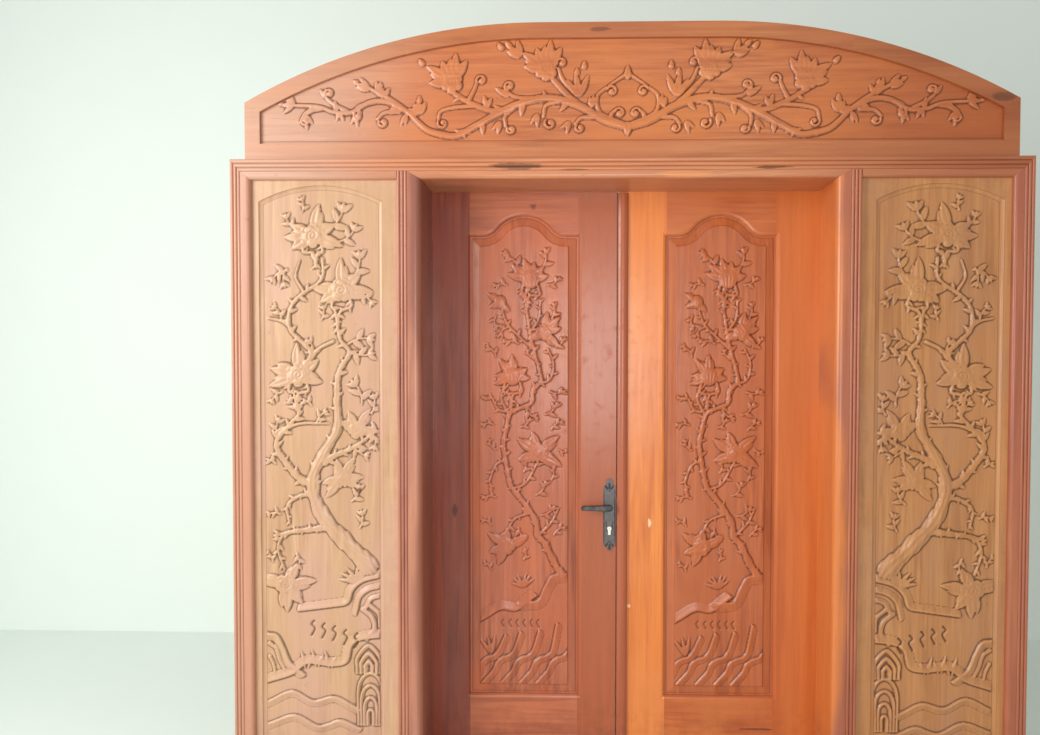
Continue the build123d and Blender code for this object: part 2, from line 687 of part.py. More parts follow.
def head_rail():
    """The head, rebated for the reeds and the leaves, and mitred to both jambs."""
    y_round = front + jamb_round
    corner = jamb_round * (1 - sqrt(0.5))
    x = -outer_edge
    seat_z = head_top - head_reed_width
    corners = [(x, y_round, head_under), (x, back, head_under), (x, back, head_top), (x, reed_seat, head_top)]
    corners += [(x, reed_seat, seat_z), (x, front, seat_z), (x, front, head_under + jamb_round)]
    rounding = arc(corners[-1], (x, front + corner, head_under + corner), corners[0])
    rail = extrude(Face(Wire([*lines(corners), rounding])), amount=frame_width, dir=BY_X)
    right = corner_wedge(-1) + lap_prism(joint_play) + mullion_tenon(joint_play) + board_groove()
    rail -= right
    rail -= mirrored(right)
    y0 = leaf_front - joint_play
    rail -= block(-rebate_side, rebate_side, y0, back + past, head_under - past, rebate_top)
    rail -= socket_plate_box(joint_play)
    start = (bolt_x, leaf_middle, rebate_top - past)
    rail -= rod(start, UP, bolt_radius + bolt_socket_room, bolt_socket_depth + past)
    return whole(rail)


def sill_rail():
    """The rail under a side board."""
    rail = block(mullion_outer, jamb_inner, front, front + sill_rail_depth, 0, sill_rail_height)
    return whole(rail - board_groove())


def side_board():
    """The left side board, with a coved edge round its sunk and carved field."""
    centre = -jamb_inner + board_outer_margin + board_field_width / 2
    x0, x1 = -jamb_inner - panel_tongue, -mullion_outer + panel_tongue
    z0 = sill_rail_height - panel_tongue
    board = block(x0, x1, board_front, board_back, z0, head_under + panel_tongue)
    mouth = board_outline(centre, 0, board_front)
    floor = board_outline(centre, board_cove_width, field_plane)
    board -= loft([mouth, floor], ruled=True)
    ground = Ground(centre, field_plane, board_field_width / 2, board_field_foot, board_apex)
    return carve(board, side_carving(ground))


# Reeded strips
def reed_face(start, across, out, width):
    """A strip's section: a flat base with a row of half-round reeds. The corners are vectors."""
    pitch = width / reed_count
    corners = [start + across * (pitch * i) + out * reed_base for i in range(reed_count + 1)]
    edges = [line(start, start + across * width), line(start + across * width, corners[-1])]
    for a, b in zip(reversed(corners[1:]), reversed(corners[:-1])):
        edges.append(arc(a, (a + b) * 0.5 + out * reed_rise, b))
    edges.append(line(corners[0], start))
    return Face(Wire(edges))


def reed_mitre(side):
    """The mitre where a jamb's reeds meet the head's: what it takes off the jamb's (1) or the head's (-1)."""
    y = front - reed_base - reed_rise
    inner = Vector(outer_edge - jamb_reed_width, y, head_top - head_reed_width)
    outer = Vector(outer_edge, y, head_top)
    reach = (outer - inner) * 2
    a, b = inner - reach, outer + reach
    third = Vector(a.X, a.Y, b.Z) if side > 0 else Vector(b.X, a.Y, a.Z)
    return extrude(polygon([a, b, third]), amount=reed_seat + past - y, dir=INTO)


def jamb_reeds():
    start = Vector(outer_edge - jamb_reed_width, reed_seat, 0)
    face = reed_face(start, Vector(1, 0, 0), Vector(0, -1, 0), jamb_reed_width)
    return whole(extrude(face, amount=head_top, dir=UP) - reed_mitre(1))


def mullion_reeds():
    start = Vector(mullion_outer - jamb_reed_width, reed_seat, 0)
    face = reed_face(start, Vector(1, 0, 0), Vector(0, -1, 0), jamb_reed_width)
    return whole(extrude(face, amount=head_top - head_reed_width, dir=UP))


def head_reeds():
    start = Vector(-outer_edge, reed_seat, head_top - head_reed_width)
    face = reed_face(start, Vector(0, 0, 1), Vector(0, -1, 0), head_reed_width)
    strip = extrude(face, amount=frame_width, dir=BY_X)
    return whole(strip - reed_mitre(-1) - mirrored(reed_mitre(-1)))


# Pediment
def pediment_ring():
    """The pediment's frame in one piece, with its groove, before it is cut at the joints."""
    ring = slab(pediment_outline(0, head_top, pediment_front), pediment_thickness)
    opening = pediment_outline(arch_rail_width, pediment_foot, pediment_front - past)
    ring -= slab(opening, pediment_thickness + 2 * past)
    inset = arch_rail_width - groove_depth
    groove = pediment_outline(inset, pediment_foot - groove_depth, pediment_plane - joint_play)
    ring -= slab(groove, pediment_panel_thickness + 2 * joint_play)
    return ring


def pediment_pieces():
    """The foot rail, the two end stiles and the arch in three lengths."""
    ring = pediment_ring()
    half = pediment_width / 2
    y0, y1 = pediment_front - past, pediment_back + past
    high = pediment_top + past
    foot = block(-half - past, half + past, y0, y1, head_top - past, pediment_foot)
    outer_corner = haunch_height(half, 0)
    inner_corner = haunch_height(half - arch_rail_width, arch_rail_width)
    inner_end = half - arch_rail_width
    mitre = [(half + past, y0, pediment_foot), (inner_end, y0, pediment_foot), (inner_end, y0, inner_corner)]
    mitre += [(half, y0, outer_corner), (half + past, y0, outer_corner)]
    stile = extrude(polygon(mitre), amount=y1 - y0, dir=INTO)
    arch = ring - foot - stile - mirrored(stile)
    middle = block(-crown_joint, crown_joint, y0, y1, pediment_foot, high)
    right = block(crown_joint, half + past, y0, y1, pediment_foot, high)
    return {
        "pediment_foot_rail": whole(ring & foot),
        "pediment_right_stile": whole(ring & stile),
        "pediment_left_stile": whole(ring & mirrored(stile)),
        "pediment_arch_crown": whole(arch & middle),
        "pediment_arch_right": whole(arch & right),
        "pediment_arch_left": whole(arch & mirrored(right)),
    }


def haunch_height(u, inset):
    centre_z = pediment_top - haunch_radius
    return centre_z + sqrt((haunch_radius - inset) ** 2 - (u - crown_half_width) ** 2)


def pediment_board():
    inset = arch_rail_width - panel_tongue
    foot = pediment_foot - panel_tongue
    board = slab(pediment_outline(inset, foot, pediment_plane), pediment_panel_thickness)
    field = (pediment_width / 2 - arch_rail_width, pediment_foot, pediment_top - arch_rail_width)
    right, left = Ground(0, pediment_plane, *field), Ground(0, pediment_plane, *field, hand=-1)
    return carve(board, pediment_half(right) + pediment_half(left) + pediment_middle(right))


# Leaves
def leaf_edges(side):
    """A leaf's two upright edges, from left to right."""
    return (-hinge_edge, lock_edge) if side < 0 else (strip_edge, hinge_edge)


def sight_centre(side):
    return left_sight_centre if side < 0 else right_sight_centre


def leaf_timber(side):
    """Stiles and rails in one piece, with the moulded opening and the panel groove."""
    x0, x1 = leaf_edges(side)
    centre = sight_centre(side)
    timber = block(x0, x1, leaf_front, back, leaf_lift, leaf_top)
    turns = [90.0 / leaf_mould_flats * i for i in range(leaf_mould_flats + 1)]
    rounds = [(leaf_mould * sin(radians(a)), leaf_mould * (1 - cos(radians(a)))) for a in turns]
    rings = [ogee_outline(centre, inset, leaf_front + depth) for inset, depth in rounds]
    for ring, deeper in zip(rings, rings[1:]):
        timber -= loft([ring, deeper], ruled=True)
    timber -= slab(rings[-1], leaf_thickness)
    rim = ogee_outline(centre, leaf_mould, back - leaf_back_chamfer)
    mouth = ogee_outline(centre, leaf_mould - leaf_back_chamfer, back)
    timber -= loft([rim, mouth], ruled=True)
    groove = ogee_outline(centre, leaf_mould - groove_depth, panel_plane - joint_play)
    return timber - slab(groove, leaf_panel_thickness + 2 * joint_play)


def leaf_pieces(side, names):
    """Hinge stile, meeting stile, top rail and bottom rail, with tenons on the rails."""
    timber = leaf_timber(side)
    x0, x1 = leaf_edges(side)
    centre = sight_centre(side)
    wall = sight_width / 2 - leaf_mould
    y0, y1 = leaf_front - past, back + past
    cut0, cut1 = centre - wall, centre + wall
    middle_z = (sight_foot + sight_shoulder) / 2
    left = timber & block(x0 - past, cut0, y0, y1, 0, head_top)
    right = timber & block(cut1, x1 + past, y0, y1, 0, head_top)
    bottom = timber & block(cut0, cut1, y0, y1, 0, middle_z)
    top = timber & block(cut0, cut1, y0, y1, middle_z, head_top)
    for play, sign in ((0, 1), (joint_play, -1)):
        low = rail_tenons(cut0, cut1, leaf_lift, sight_foot, play)
        high = rail_tenons(cut0, cut1, sight_shoulder, leaf_top, play)
        if sign > 0:
            bottom = bottom + low
            top = top + high
        else:
            left = left - low - high
            right = right - low - high
    return dict(zip(names, [whole(s) for s in (left, right, top, bottom)]))


def rail_tenons(cut0, cut1, z0, z1, play):
    """The tenon at each end of a rail, in line with the panel's groove."""
    y0 = panel_plane - play
    y1 = panel_plane + leaf_panel_thickness + play
    low = z0 + rail_tenon_shoulder - play
    high = z1 - rail_tenon_shoulder + play
    reach = rail_tenon + play
    inward = past - play
    first = block(cut0 - reach, cut0 + inward, y0, y1, low, high)
    second = block(cut1 - inward, cut1 + reach, y0, y1, low, high)
    return first + second


def leaf_panel():
    """The left leaf's raised and carved panel, which floats in the leaf's grooves."""
    centre = left_sight_centre
    tongue_inset = leaf_mould - panel_tongue
    panel = slab(ogee_outline(centre, tongue_inset, panel_plane), leaf_panel_thickness)
    foot = ogee_outline(centre, bevel_start, panel_plane)
    shoulder = ogee_outline(centre, field_inset, panel_plane - bevel_rise)
    panel += loft([foot, shoulder], ruled=True)
    panel += slab(ogee_outline(centre, field_inset, leaf_field_plane), field_step)
    ground = Ground(centre, leaf_field_plane, sight_width / 2, sight_foot, sight_apex)
    return carve(panel, leaf_carving(ground))


def meeting_strip():
    """The half-round strip that the right leaf carries at its meeting edge."""
    x0, x1 = strip_edge, strip_edge + strip_width
    side_y = leaf_front - strip_side
    z = leaf_lift
    crown = ((x0 + x1) / 2, leaf_front - strip_proud, z)
    edges = [line((x0, leaf_front, z), (x1, leaf_front, z)), line((x1, leaf_front, z), (x1, side_y, z))]
    edges += [arc((x1, side_y, z), crown, (x0, side_y, z)), line((x0, side_y, z), (x0, leaf_front, z))]
    height = head_under - strip_head_gap - leaf_lift
    return whole(extrude(Face(Wire(edges)), amount=height, dir=UP))


# Hinges: each has two knuckles on the frame's plate and one between them on the leaf's plate
def knuckle_span(z, index):
    """The lower and upper end of one of a hinge's three knuckles."""
    pitch = hinge_length / 3
    z0 = z - hinge_length / 2 + pitch * index + (knuckle_play / 2 if index > 0 else 0)
    z1 = z - hinge_length / 2 + pitch * (index + 1) - (knuckle_play / 2 if index < 2 else 0)
    return z0, z1


def hinge_plate(z, indexes, x0, x1):
    """One half of a hinge: its plate, and the knuckles with the given indexes."""
    low, high = z - hinge_length / 2, z + hinge_length / 2
    half = block(x0, x1, back - hinge_plate_width, back + knuckle_lift, low, high)
    for i in range(3):
        z0, z1 = knuckle_span(z, i)
        if i in indexes:
            half += block(x0, x1, back, hinge_axis_y, z0, z1)
            half += rod((hinge_axis_x, hinge_axis_y, z0), UP, knuckle_radius, z1 - z0)
    half -= rod((hinge_axis_x, hinge_axis_y, low - past), UP, pin_radius + pin_play, hinge_length + 2 * past)
    for i in range(3):
        z0, z1 = knuckle_span(z, i)
        if i not in indexes:
            left, right = hinge_axis_x - knuckle_radius, hinge_axis_x + knuckle_radius
            near, far = back + knuckle_lift / 2, hinge_axis_y + knuckle_radius + past
            half -= block(left, right, near, far, z0 - knuckle_play, z1 + knuckle_play)
    return whole(half)


def frame_hinge_plates():
    """The hinge halves that are let into the right mullion."""
    x1 = rebate_side + hinge_plate_thickness
    return Compound([hinge_plate(z, (0, 2), rebate_side, x1) for z in hinge_heights])


def leaf_hinge_plates():
    """The hinge halves that are let into the right leaf's edge."""
    x0 = hinge_edge - hinge_plate_thickness
    return Compound([hinge_plate(z, (1,), x0, hinge_edge) for z in hinge_heights])


def hinge_pins():
    """Loose pins, each with a low round head."""
    pins = []
    for z in hinge_heights:
        low = z - hinge_length / 2
        pin = rod((hinge_axis_x, hinge_axis_y, low), UP, pin_radius, hinge_length)
        pin += rod((hinge_axis_x, hinge_axis_y, low + hinge_length), UP, pin_head_radius, pin_head_rise)
        pins.append(whole(pin))
    return Compound(pins)


def leaf_hinge_mortises(side):
    """The pockets in a leaf's hinge edge."""
    pockets = None
    for z in hinge_heights:
        low, high = z - hinge_length / 2 - joint_play, z + hinge_length / 2 + joint_play
        x0, y0 = hinge_edge - hinge_plate_thickness, back - hinge_plate_width
        pocket = block(x0, hinge_edge + past, y0, back + past, low, high)
        pockets = pocket if pockets is None else pockets + pocket
    return pockets if side > 0 else mirrored(pockets)


# Lock in the left leaf
def slide_bar(x_tip, length, z, height, thickness, play):
    """A bolt that slides across, ending at x_tip on the right."""
    half_y, half_z = thickness / 2 + play, height / 2 + play
    return block(x_tip - length, x_tip, leaf_middle - half_y, leaf_middle + half_y, z - half_z, z + half_z)


def lock_case():
    """The mortise case, with its channels for the bolts, the spindle and the cylinder."""
    x1 = lock_edge - faceplate_thickness
    x0 = x1 - lock_case_depth
    top = lever_height + lock_case_above_lever
    half = lock_case_thickness / 2
    case = block(x0, x1, leaf_middle - half, leaf_middle + half, top - lock_case_height, top)
    latch_run = latch_body + 2 * latch_throw
    case -= slide_bar(x1 + past, latch_run + past, latch_z, latch_height, latch_thickness, slide_play)
    dead_run = dead_bolt_body + past
    case -= slide_bar(x1 + past, dead_run, dead_bolt_z, dead_bolt_height, latch_thickness, slide_play)
    case -= rod((lever_x, leaf_front, lever_height), INTO, spindle_hole_radius, leaf_thickness)
    case -= cylinder_prism(leaf_front, leaf_thickness, joint_play)
    return whole(case)


def lock_faceplate():
    top = lever_height + lock_case_above_lever + (faceplate_height - lock_case_height) / 2
    half = faceplate_width / 2
    x0 = lock_edge - faceplate_thickness
    plate = block(x0, lock_edge, leaf_middle - half, leaf_middle + half, top - faceplate_height, top)
    through = faceplate_thickness + 2 * past
    plate -= slide_bar(lock_edge + past, through, latch_z, latch_height, latch_thickness, slide_play)
    plate -= slide_bar(lock_edge + past, through, dead_bolt_z, dead_bolt_height, latch_thickness, slide_play)
    return whole(plate)


def lock_mortise():
    """What the lock takes out of the lock stile."""
    x0 = lock_edge - faceplate_thickness - lock_case_depth - joint_play
    top = lever_height + lock_case_above_lever + joint_play
    half = lock_case_thickness / 2 + joint_play
    foot = top - lock_case_height - 2 * joint_play
    hole = block(x0, lock_edge + past, leaf_middle - half, leaf_middle + half, foot, top)
    face_top = lever_height + lock_case_above_lever + (faceplate_height - lock_case_height) / 2 + joint_play
    half = faceplate_width / 2 + joint_play
    face_foot = face_top - faceplate_height - 2 * joint_play
    seat_x = lock_edge - faceplate_thickness
    hole += block(seat_x, lock_edge + past, leaf_middle - half, leaf_middle + half, face_foot, face_top)
    through = leaf_thickness + 2 * past
    hole += rod((lever_x, leaf_front - past, lever_height), INTO, spindle_hole_radius + spindle_room, through)
    hole += cylinder_prism(leaf_front - past, through, cylinder_room)
    return hole


def cylinder_prism(y, length, play):
    """The cylinder's section: a round barrel over a narrow tail."""
    barrel = rod((lever_x, y, cylinder_z), INTO, cylinder_radius + play, length)
    half = cylinder_tail_width / 2 + play
    foot = cylinder_z + cylinder_radius - cylinder_height - play
    return barrel + block(lever_x - half, lever_x + half, y, y + length, foot, cylinder_z)


def cylinder_body():
    y0 = leaf_front - back_plate_thickness - cylinder_proud
    length = leaf_thickness + 2 * (back_plate_thickness + cylinder_proud)
    body = cylinder_prism(y0, length, 0)
    through = length + 2 * past
    return whole(body - rod((lever_x, y0 - past, cylinder_z), INTO, plug_radius + running_play, through))


def key_plug():
    """The part of the cylinder that turns with the key, slotted at both ends."""
    y0 = leaf_front - back_plate_thickness - cylinder_proud - plug_proud
    length = leaf_thickness + 2 * (back_plate_thickness + cylinder_proud + plug_proud)
    plug = rod((lever_x, y0, cylinder_z), INTO, plug_radius, length)
    half_w, half_h = key_slot_width / 2, key_slot_height / 2
    for start in (y0 - past, y0 + length - key_slot_depth):
        end = start + key_slot_depth + past
        low, high = cylinder_z - half_h, cylinder_z + half_h
        plug -= block(lever_x - half_w, lever_x + half_w, start, end, low, high)
    return whole(plug)


def scroll_end(y, level, reach, knob):
    """One end of a back plate, from right to left: hollow shoulders up to a round knob."""
    half = back_plate_width / 2
    seat = level + reach - (knob if reach > 0 else -knob)
    hollow = (knob + (half - knob) * shoulder_hollow, level + (seat - level) * shoulder_hollow)
    right = arc((lever_x + half, y, level), (lever_x + hollow[0], y, hollow[1]), (lever_x + knob, y, seat))
    middle = arc((lever_x + knob, y, seat), (lever_x, y, level + reach), (lever_x - knob, y, seat))
    left = arc((lever_x - knob, y, seat), (lever_x - hollow[0], y, hollow[1]), (lever_x - half, y, level))
    return [right, middle, left]


def back_plate_face(y):
    """A long plate with a scrolled crown and tail."""
    half = back_plate_width / 2
    x0, x1 = lever_x - half, lever_x + half
    top, bottom = lever_height + back_plate_above_lever, lever_height - back_plate_below_lever
    edges = [line((x1, y, bottom), (x1, y, top)), *scroll_end(y, top, crown_rise, crown_knob)]
    edges += [line((x0, y, top), (x0, y, bottom)), *scroll_end(y, bottom, -tail_drop, tail_knob)]
    return Face(Wire(edges))


def back_plate(y0):
    plate = slab(back_plate_face(y0), back_plate_thickness)
    through = back_plate_thickness + 2 * past
    plate -= rod((lever_x, y0 - past, lever_height), INTO, lever_neck_radius + running_play, through)
    plate -= cylinder_prism(y0 - past, through, joint_play)
    return whole(plate)


def lever_outline(y):
    """A lever seen from the front: a round hub, and an arm that thins towards its rounded tip."""
    hub, tip, z = lever_hub_radius, lever_tip_radius, lever_height
    tip_x = lever_x - lever_length + tip
    taper = asin((hub - tip) / (lever_x - tip_x))
    aside, up = sin(taper), cos(taper)
    corners = [(lever_x - hub * aside, y, z + hub * up), (tip_x - tip * aside, y, z + tip * up)]
    corners += [(x, y, 2 * z - height) for x, y, height in reversed(corners)]
    edges = [line(corners[0], corners[1]), arc(corners[1], (tip_x - tip, y, z), corners[2])]
    edges += [line(corners[2], corners[3]), arc(corners[3], (lever_x + hub, y, z), corners[0])]
    return Face(Wire(edges))


def lever(side):
    """The lever on the carved side (-1) or on the other side (1) of the leaf."""
    plate_face = (leaf_front - back_plate_thickness) if side < 0 else (back + back_plate_thickness)
    near = plate_face + side * lever_stand_off
    arm_y = near - lever_thickness / 2
    arm = slab(lever_outline(arm_y), lever_thickness)
    arm = chamfer(arm.faces().filter_by(Axis.Y).edges(), lever_edge_chamfer)
    neck_start = min(near, plate_face - side * lever_neck_seat)
    neck_end = max(near, plate_face - side * lever_neck_seat)
    arm += rod((lever_x, neck_start, lever_height), INTO, lever_neck_radius, neck_end - neck_start)
    return whole(arm - spindle(joint_play))


def spindle(play):
    half = spindle_side / 2 + play
    reach = back_plate_thickness + lever_stand_off - lever_thickness
    y0, y1 = leaf_front - reach - play, back + reach + play
    bar = block(lever_x - half, lever_x + half, y0, y1, lever_height - half, lever_height + half)
    return whole(bar)


def latch_bolt():
    """The spring latch, with its bevel towards the side that the leaf closes from."""
    tip = lock_edge + latch_throw
    bolt = slide_bar(tip, latch_body + latch_throw, latch_z, latch_height, latch_thickness, 0)
    y0 = leaf_middle - latch_thickness / 2
    start, end = tip - latch_throw + latch_nose, tip + latch_nose
    bevel = [(start, y0 - latch_nose), (end, y0 - latch_nose), (end, y0 + latch_thickness - latch_flat)]
    points = [(x, y, latch_z - latch_height) for x, y in bevel]
    return whole(bolt - extrude(polygon(points), amount=2 * latch_height, dir=UP))


def dead_bolt():
    return whole(slide_bar(lock_edge, dead_bolt_body, dead_bolt_z, dead_bolt_height, latch_thickness, 0))


def strike_box(play):
    half = faceplate_width / 2 + play
    z0, z1 = strike_centre - strike_height / 2 - play, strike_centre + strike_height / 2 + play
    x0 = strip_edge - (past if play else 0)
    return block(x0, strip_edge + strike_thickness, leaf_middle - half, leaf_middle + half, z0, z1)


def strike_pockets(play):
    """Room for the dead bolt, and for the latch, which leaves by the open back when the leaf swings."""
    reach = strike_pocket_depth
    room = keep_room + play
    dead = slide_bar(strip_edge + reach, reach + past, dead_bolt_z, dead_bolt_height, latch_thickness, room)
    half_z = latch_height / 2 + room
    y0 = leaf_middle - latch_thickness / 2 - room
    x0, x1 = strip_edge - past, strip_edge + latch_throw + play
    latch = block(x0, x1, y0, back + past, latch_z - half_z, latch_z + half_z)
    return dead + latch


def strike_plate():
    return whole(strike_box(0) - strike_pockets(0))


# Flush bolts
def bolt_case(z0):
    """A flush bolt's case, let into the meeting edge, with a slot for the thumb stud."""
    half = bolt_case_width / 2
    x1, z1 = strip_edge + bolt_case_depth, z0 + bolt_case_length
    case = block(strip_edge, x1, leaf_middle - half, leaf_middle + half, z0, z1)
    case -= rod((bolt_x, leaf_middle, z0 - past), UP, bolt_radius + running_play, bolt_case_length + 2 * past)
    middle, reach = (z0 + z1) / 2, bolt_throw + bolt_slot_room
    half = bolt_slot_width / 2 + slide_play
    low, high = middle - reach, middle + reach
    case -= block(strip_edge - past, bolt_x, leaf_middle - half, leaf_middle + half, low, high)
    return whole(case)


def bolt_pocket(z0, z1):
    half = bolt_case_width / 2 + joint_play
    x1 = strip_edge + bolt_case_depth + joint_play
    return block(strip_edge - past, x1, leaf_middle - half, leaf_middle + half, z0, z1)


def flush_bolt(tip, side):
    """A bolt whose outer end is at tip, drawn back; side is 1 at the top and -1 at the foot."""
    start = tip - bolt_length if side > 0 else tip
    bar = rod((bolt_x, leaf_middle, start), UP, bolt_radius, bolt_length)
    middle = leaf_top - bolt_case_length / 2 if side > 0 else leaf_lift + bolt_case_length / 2
    stud_z = middle - side * bolt_throw / 2
    half, rise = bolt_slot_width / 2, bolt_stud_height / 2
    x0 = strip_edge + bolt_stud_sink
    bar += block(x0, bolt_x, leaf_middle - half, leaf_middle + half, stud_z - rise, stud_z + rise)
    return whole(bar)


def socket_plate_box(play):
    """The plate in the head's rebate that the top bolt shoots through."""
    half = faceplate_width / 2 + play
    x0, x1 = bolt_x - socket_plate_length / 2 - play, bolt_x + socket_plate_length / 2 + play
    z0, z1 = rebate_top - (past if play else 0), rebate_top + socket_plate_thickness
    return block(x0, x1, leaf_middle - half, leaf_middle + half, z0, z1)


def socket_plate():
    through = socket_plate_thickness + 2 * past
    hole = rod((bolt_x, leaf_middle, rebate_top - past), UP, bolt_radius + bolt_socket_room, through)
    return whole(socket_plate_box(0) - hole)


def frame_nodes():
    nodes = {}
    for name, piece in (("jamb", jamb()), ("mullion", mullion()), ("jamb_reeds", jamb_reeds()),
                        ("mullion_reeds", mullion_reeds()), ("sill_rail", sill_rail())):
        nodes["right_" + name] = piece
        nodes["left_" + name] = mirrored(piece)
    nodes["head_rail"] = head_rail()
    nodes["head_reeds"] = head_reeds()
    nodes["left_side_board"] = side_board()
    nodes["right_side_board"] = mirrored(nodes["left_side_board"])
    nodes.update(pediment_pieces())
    nodes["pediment_board"] = pediment_board()
    nodes["right_frame_hinge_plates"] = frame_hinge_plates()
    nodes["left_frame_hinge_plates"] = mirrored(frame_hinge_plates())
    nodes["right_hinge_pins"] = hinge_pins()
    nodes["left_hinge_pins"] = mirrored(hinge_pins())
    nodes["head_bolt_socket"] = socket_plate()
    return nodes


def left_leaf_nodes():
    names = ("left_hinge_stile", "left_lock_stile", "left_top_rail", "left_bottom_rail")
    nodes = leaf_pieces(-1, names)
    nodes["left_lock_stile"] = whole(nodes["left_lock_stile"] - lock_mortise())
    nodes["left_hinge_stile"] = whole(nodes["left_hinge_stile"] - leaf_hinge_mortises(-1))
    nodes["left_leaf_panel"] = leaf_panel()
    nodes["left_leaf_hinge_plates"] = mirrored(leaf_hinge_plates())
    nodes["lock_case"] = lock_case()
    nodes["lock_faceplate"] = lock_faceplate()
    nodes["lock_cylinder"] = cylinder_body()
    nodes["front_back_plate"] = back_plate(leaf_front - back_plate_thickness)
    nodes["rear_back_plate"] = back_plate(back)
    return nodes


def right_leaf_nodes():
    names = ("right_meeting_stile", "right_hinge_stile", "right_top_rail", "right_bottom_rail")
    nodes = leaf_pieces(1, names)
    stile = nodes["right_meeting_stile"] - strike_box(joint_play) - strike_pockets(joint_play)
    top_case, low_case = leaf_top - bolt_case_length, leaf_lift
    stile -= bolt_pocket(top_case - joint_play, leaf_top + past)
    stile -= bolt_pocket(low_case - past, low_case + bolt_case_length + joint_play)
    nodes["right_meeting_stile"] = whole(stile)
    nodes["right_hinge_stile"] = whole(nodes["right_hinge_stile"] - leaf_hinge_mortises(1))
    nodes["right_leaf_hinge_plates"] = leaf_hinge_plates()
    nodes["meeting_strip"] = meeting_strip()
    nodes["strike_plate"] = strike_plate()
    nodes["top_bolt_case"] = bolt_case(top_case)
    nodes["bottom_bolt_case"] = bolt_case(low_case)
    return nodes


def moving_nodes():
    return {
        "front_lever": lever(-1),
        "rear_lever": lever(1),
        "lever_spindle": spindle(0),
        "key_plug": key_plug(),
        "latch_bolt": latch_bolt(),
        "dead_bolt": dead_bolt(),
        "top_bolt": flush_bolt(leaf_top, 1),
        "bottom_bolt": flush_bolt(leaf_lift, -1),
    }


def main():
    os.makedirs("parts", exist_ok=True)
    nodes = {**frame_nodes(), **left_leaf_nodes(), **right_leaf_nodes(), **moving_nodes()}
    nodes["right_leaf_panel"] = Pos(right_sight_centre - left_sight_centre, 0, 0) * nodes["left_leaf_panel"]
    for name, shape in nodes.items():
        export_step(shape, f"parts/{name}.step")
    print(len(nodes), "nodes")


main()
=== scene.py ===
import math

import bpy
import numpy as np
from mathutils import Matrix, Vector


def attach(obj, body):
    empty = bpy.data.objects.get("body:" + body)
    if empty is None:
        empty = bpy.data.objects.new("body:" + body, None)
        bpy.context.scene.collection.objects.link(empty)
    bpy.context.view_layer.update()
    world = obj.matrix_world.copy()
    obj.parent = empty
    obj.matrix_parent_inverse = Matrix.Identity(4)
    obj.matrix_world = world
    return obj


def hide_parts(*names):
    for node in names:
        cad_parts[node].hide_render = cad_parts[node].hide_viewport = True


# The carved double door, seen from its carved side. Carving is drawn in millimetres, with u across
# a board from its middle and v up from the floor. Everything that stands in the scene is in metres.

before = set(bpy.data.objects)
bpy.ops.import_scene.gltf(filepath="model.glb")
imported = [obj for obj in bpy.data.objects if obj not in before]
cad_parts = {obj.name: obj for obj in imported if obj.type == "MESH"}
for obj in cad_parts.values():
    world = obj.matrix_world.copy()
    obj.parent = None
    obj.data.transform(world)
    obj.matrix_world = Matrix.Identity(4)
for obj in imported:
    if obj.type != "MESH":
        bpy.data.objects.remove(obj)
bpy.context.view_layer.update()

# Lengths of the carving and of the creases painted with shade, in millimetres
fine_pitch = 3.2
edge_softening = 1.5
set_in_reach, set_in_depth = 3.0, 3.4
tool_wave_reach = 14.0
near_reach, far_reach = 3.0, 7.0
field_edge_fade = 6.0
crease_shade = 1.6
full_turn = 6.283


# Carving tools
class Relief:
    """The carving on one board: how far the wood stands above its ground, on an even grid."""

    def __init__(self, u0, u1, v0, v1, pitch=1.5):
        self.pitch = pitch
        self.u = np.arange(u0, u1 + pitch, pitch)
        self.v = np.arange(v0, v1 + pitch, pitch)
        self.height = np.zeros((len(self.v), len(self.u)))

    def near(self, u0, u1, v0, v1):
        """A patch of the grid, and the u and v of its points."""
        i0, i1 = np.searchsorted(self.u, (u0, u1))
        j0, j1 = np.searchsorted(self.v, (v0, v1))
        return (slice(j0, j1), slice(i0, i1)), self.u[None, i0:i1], self.v[j0:j1, None]

    def around(self, u, v, reach):
        """A patch about one place, and how far its points lie from there."""
        patch, uu, vv = self.near(u - reach, u + reach, v - reach, v + reach)
        return patch, uu - u, vv - v

    def raise_to(self, patch, height):
        self.height[patch] = np.maximum(self.height[patch], height)

    def stand(self, patch, inside, height):
        """Put a form in place of whatever lies under it."""
        self.height[patch] = np.where(inside, height, self.height[patch])

    def sink(self, patch, depth):
        self.height[patch] -= depth

    def mirrored(self):
        other = Relief(-self.u[-1], -self.u[0], self.v[0], self.v[-1], self.pitch)
        other.u = -self.u[::-1]
        other.v = self.v
        other.height = self.height[:, ::-1]
        return other

    def soften(self, reach):
        """Round every edge a little, as sandpaper and varnish do."""
        self.height = blur(self.height, max(1, round(reach / self.pitch)))

    def sample(self, grid, u, v):
        """Values of a grid of this board at any points."""
        x = np.clip((u - self.u[0]) / self.pitch, 0, len(self.u) - 1.001)
        y = np.clip((v - self.v[0]) / self.pitch, 0, len(self.v) - 1.001)
        i, j = x.astype(int), y.astype(int)
        a, b = x - i, y - j
        low = grid[j, i] * (1 - a) + grid[j, i + 1] * a
        high = grid[j + 1, i] * (1 - a) + grid[j + 1, i + 1] * a
        return low * (1 - b) + high * b

    def hollows(self):
        """How deep each place lies below the wood around it, near by or a little further off."""
        near = blur(self.height, round(near_reach / self.pitch)) - self.height
        far = blur(self.height, round(far_reach / self.pitch)) - self.height
        return np.maximum(far, near * 2.2)


def blur(grid, radius, passes=2):
    """Average every place with those around it."""
    for _ in range(passes):
        for axis in (0, 1):
            pad = [(radius + 1, radius) if i == axis else (0, 0) for i in (0, 1)]
            total = np.cumsum(np.pad(grid, pad, mode="edge"), axis=axis)
            n = grid.shape[axis]
            width = 2 * radius + 1
            last, first = (np.take(total, range(start, start + n), axis) for start in (width, 0))
            grid = (last - first) / width
    return grid


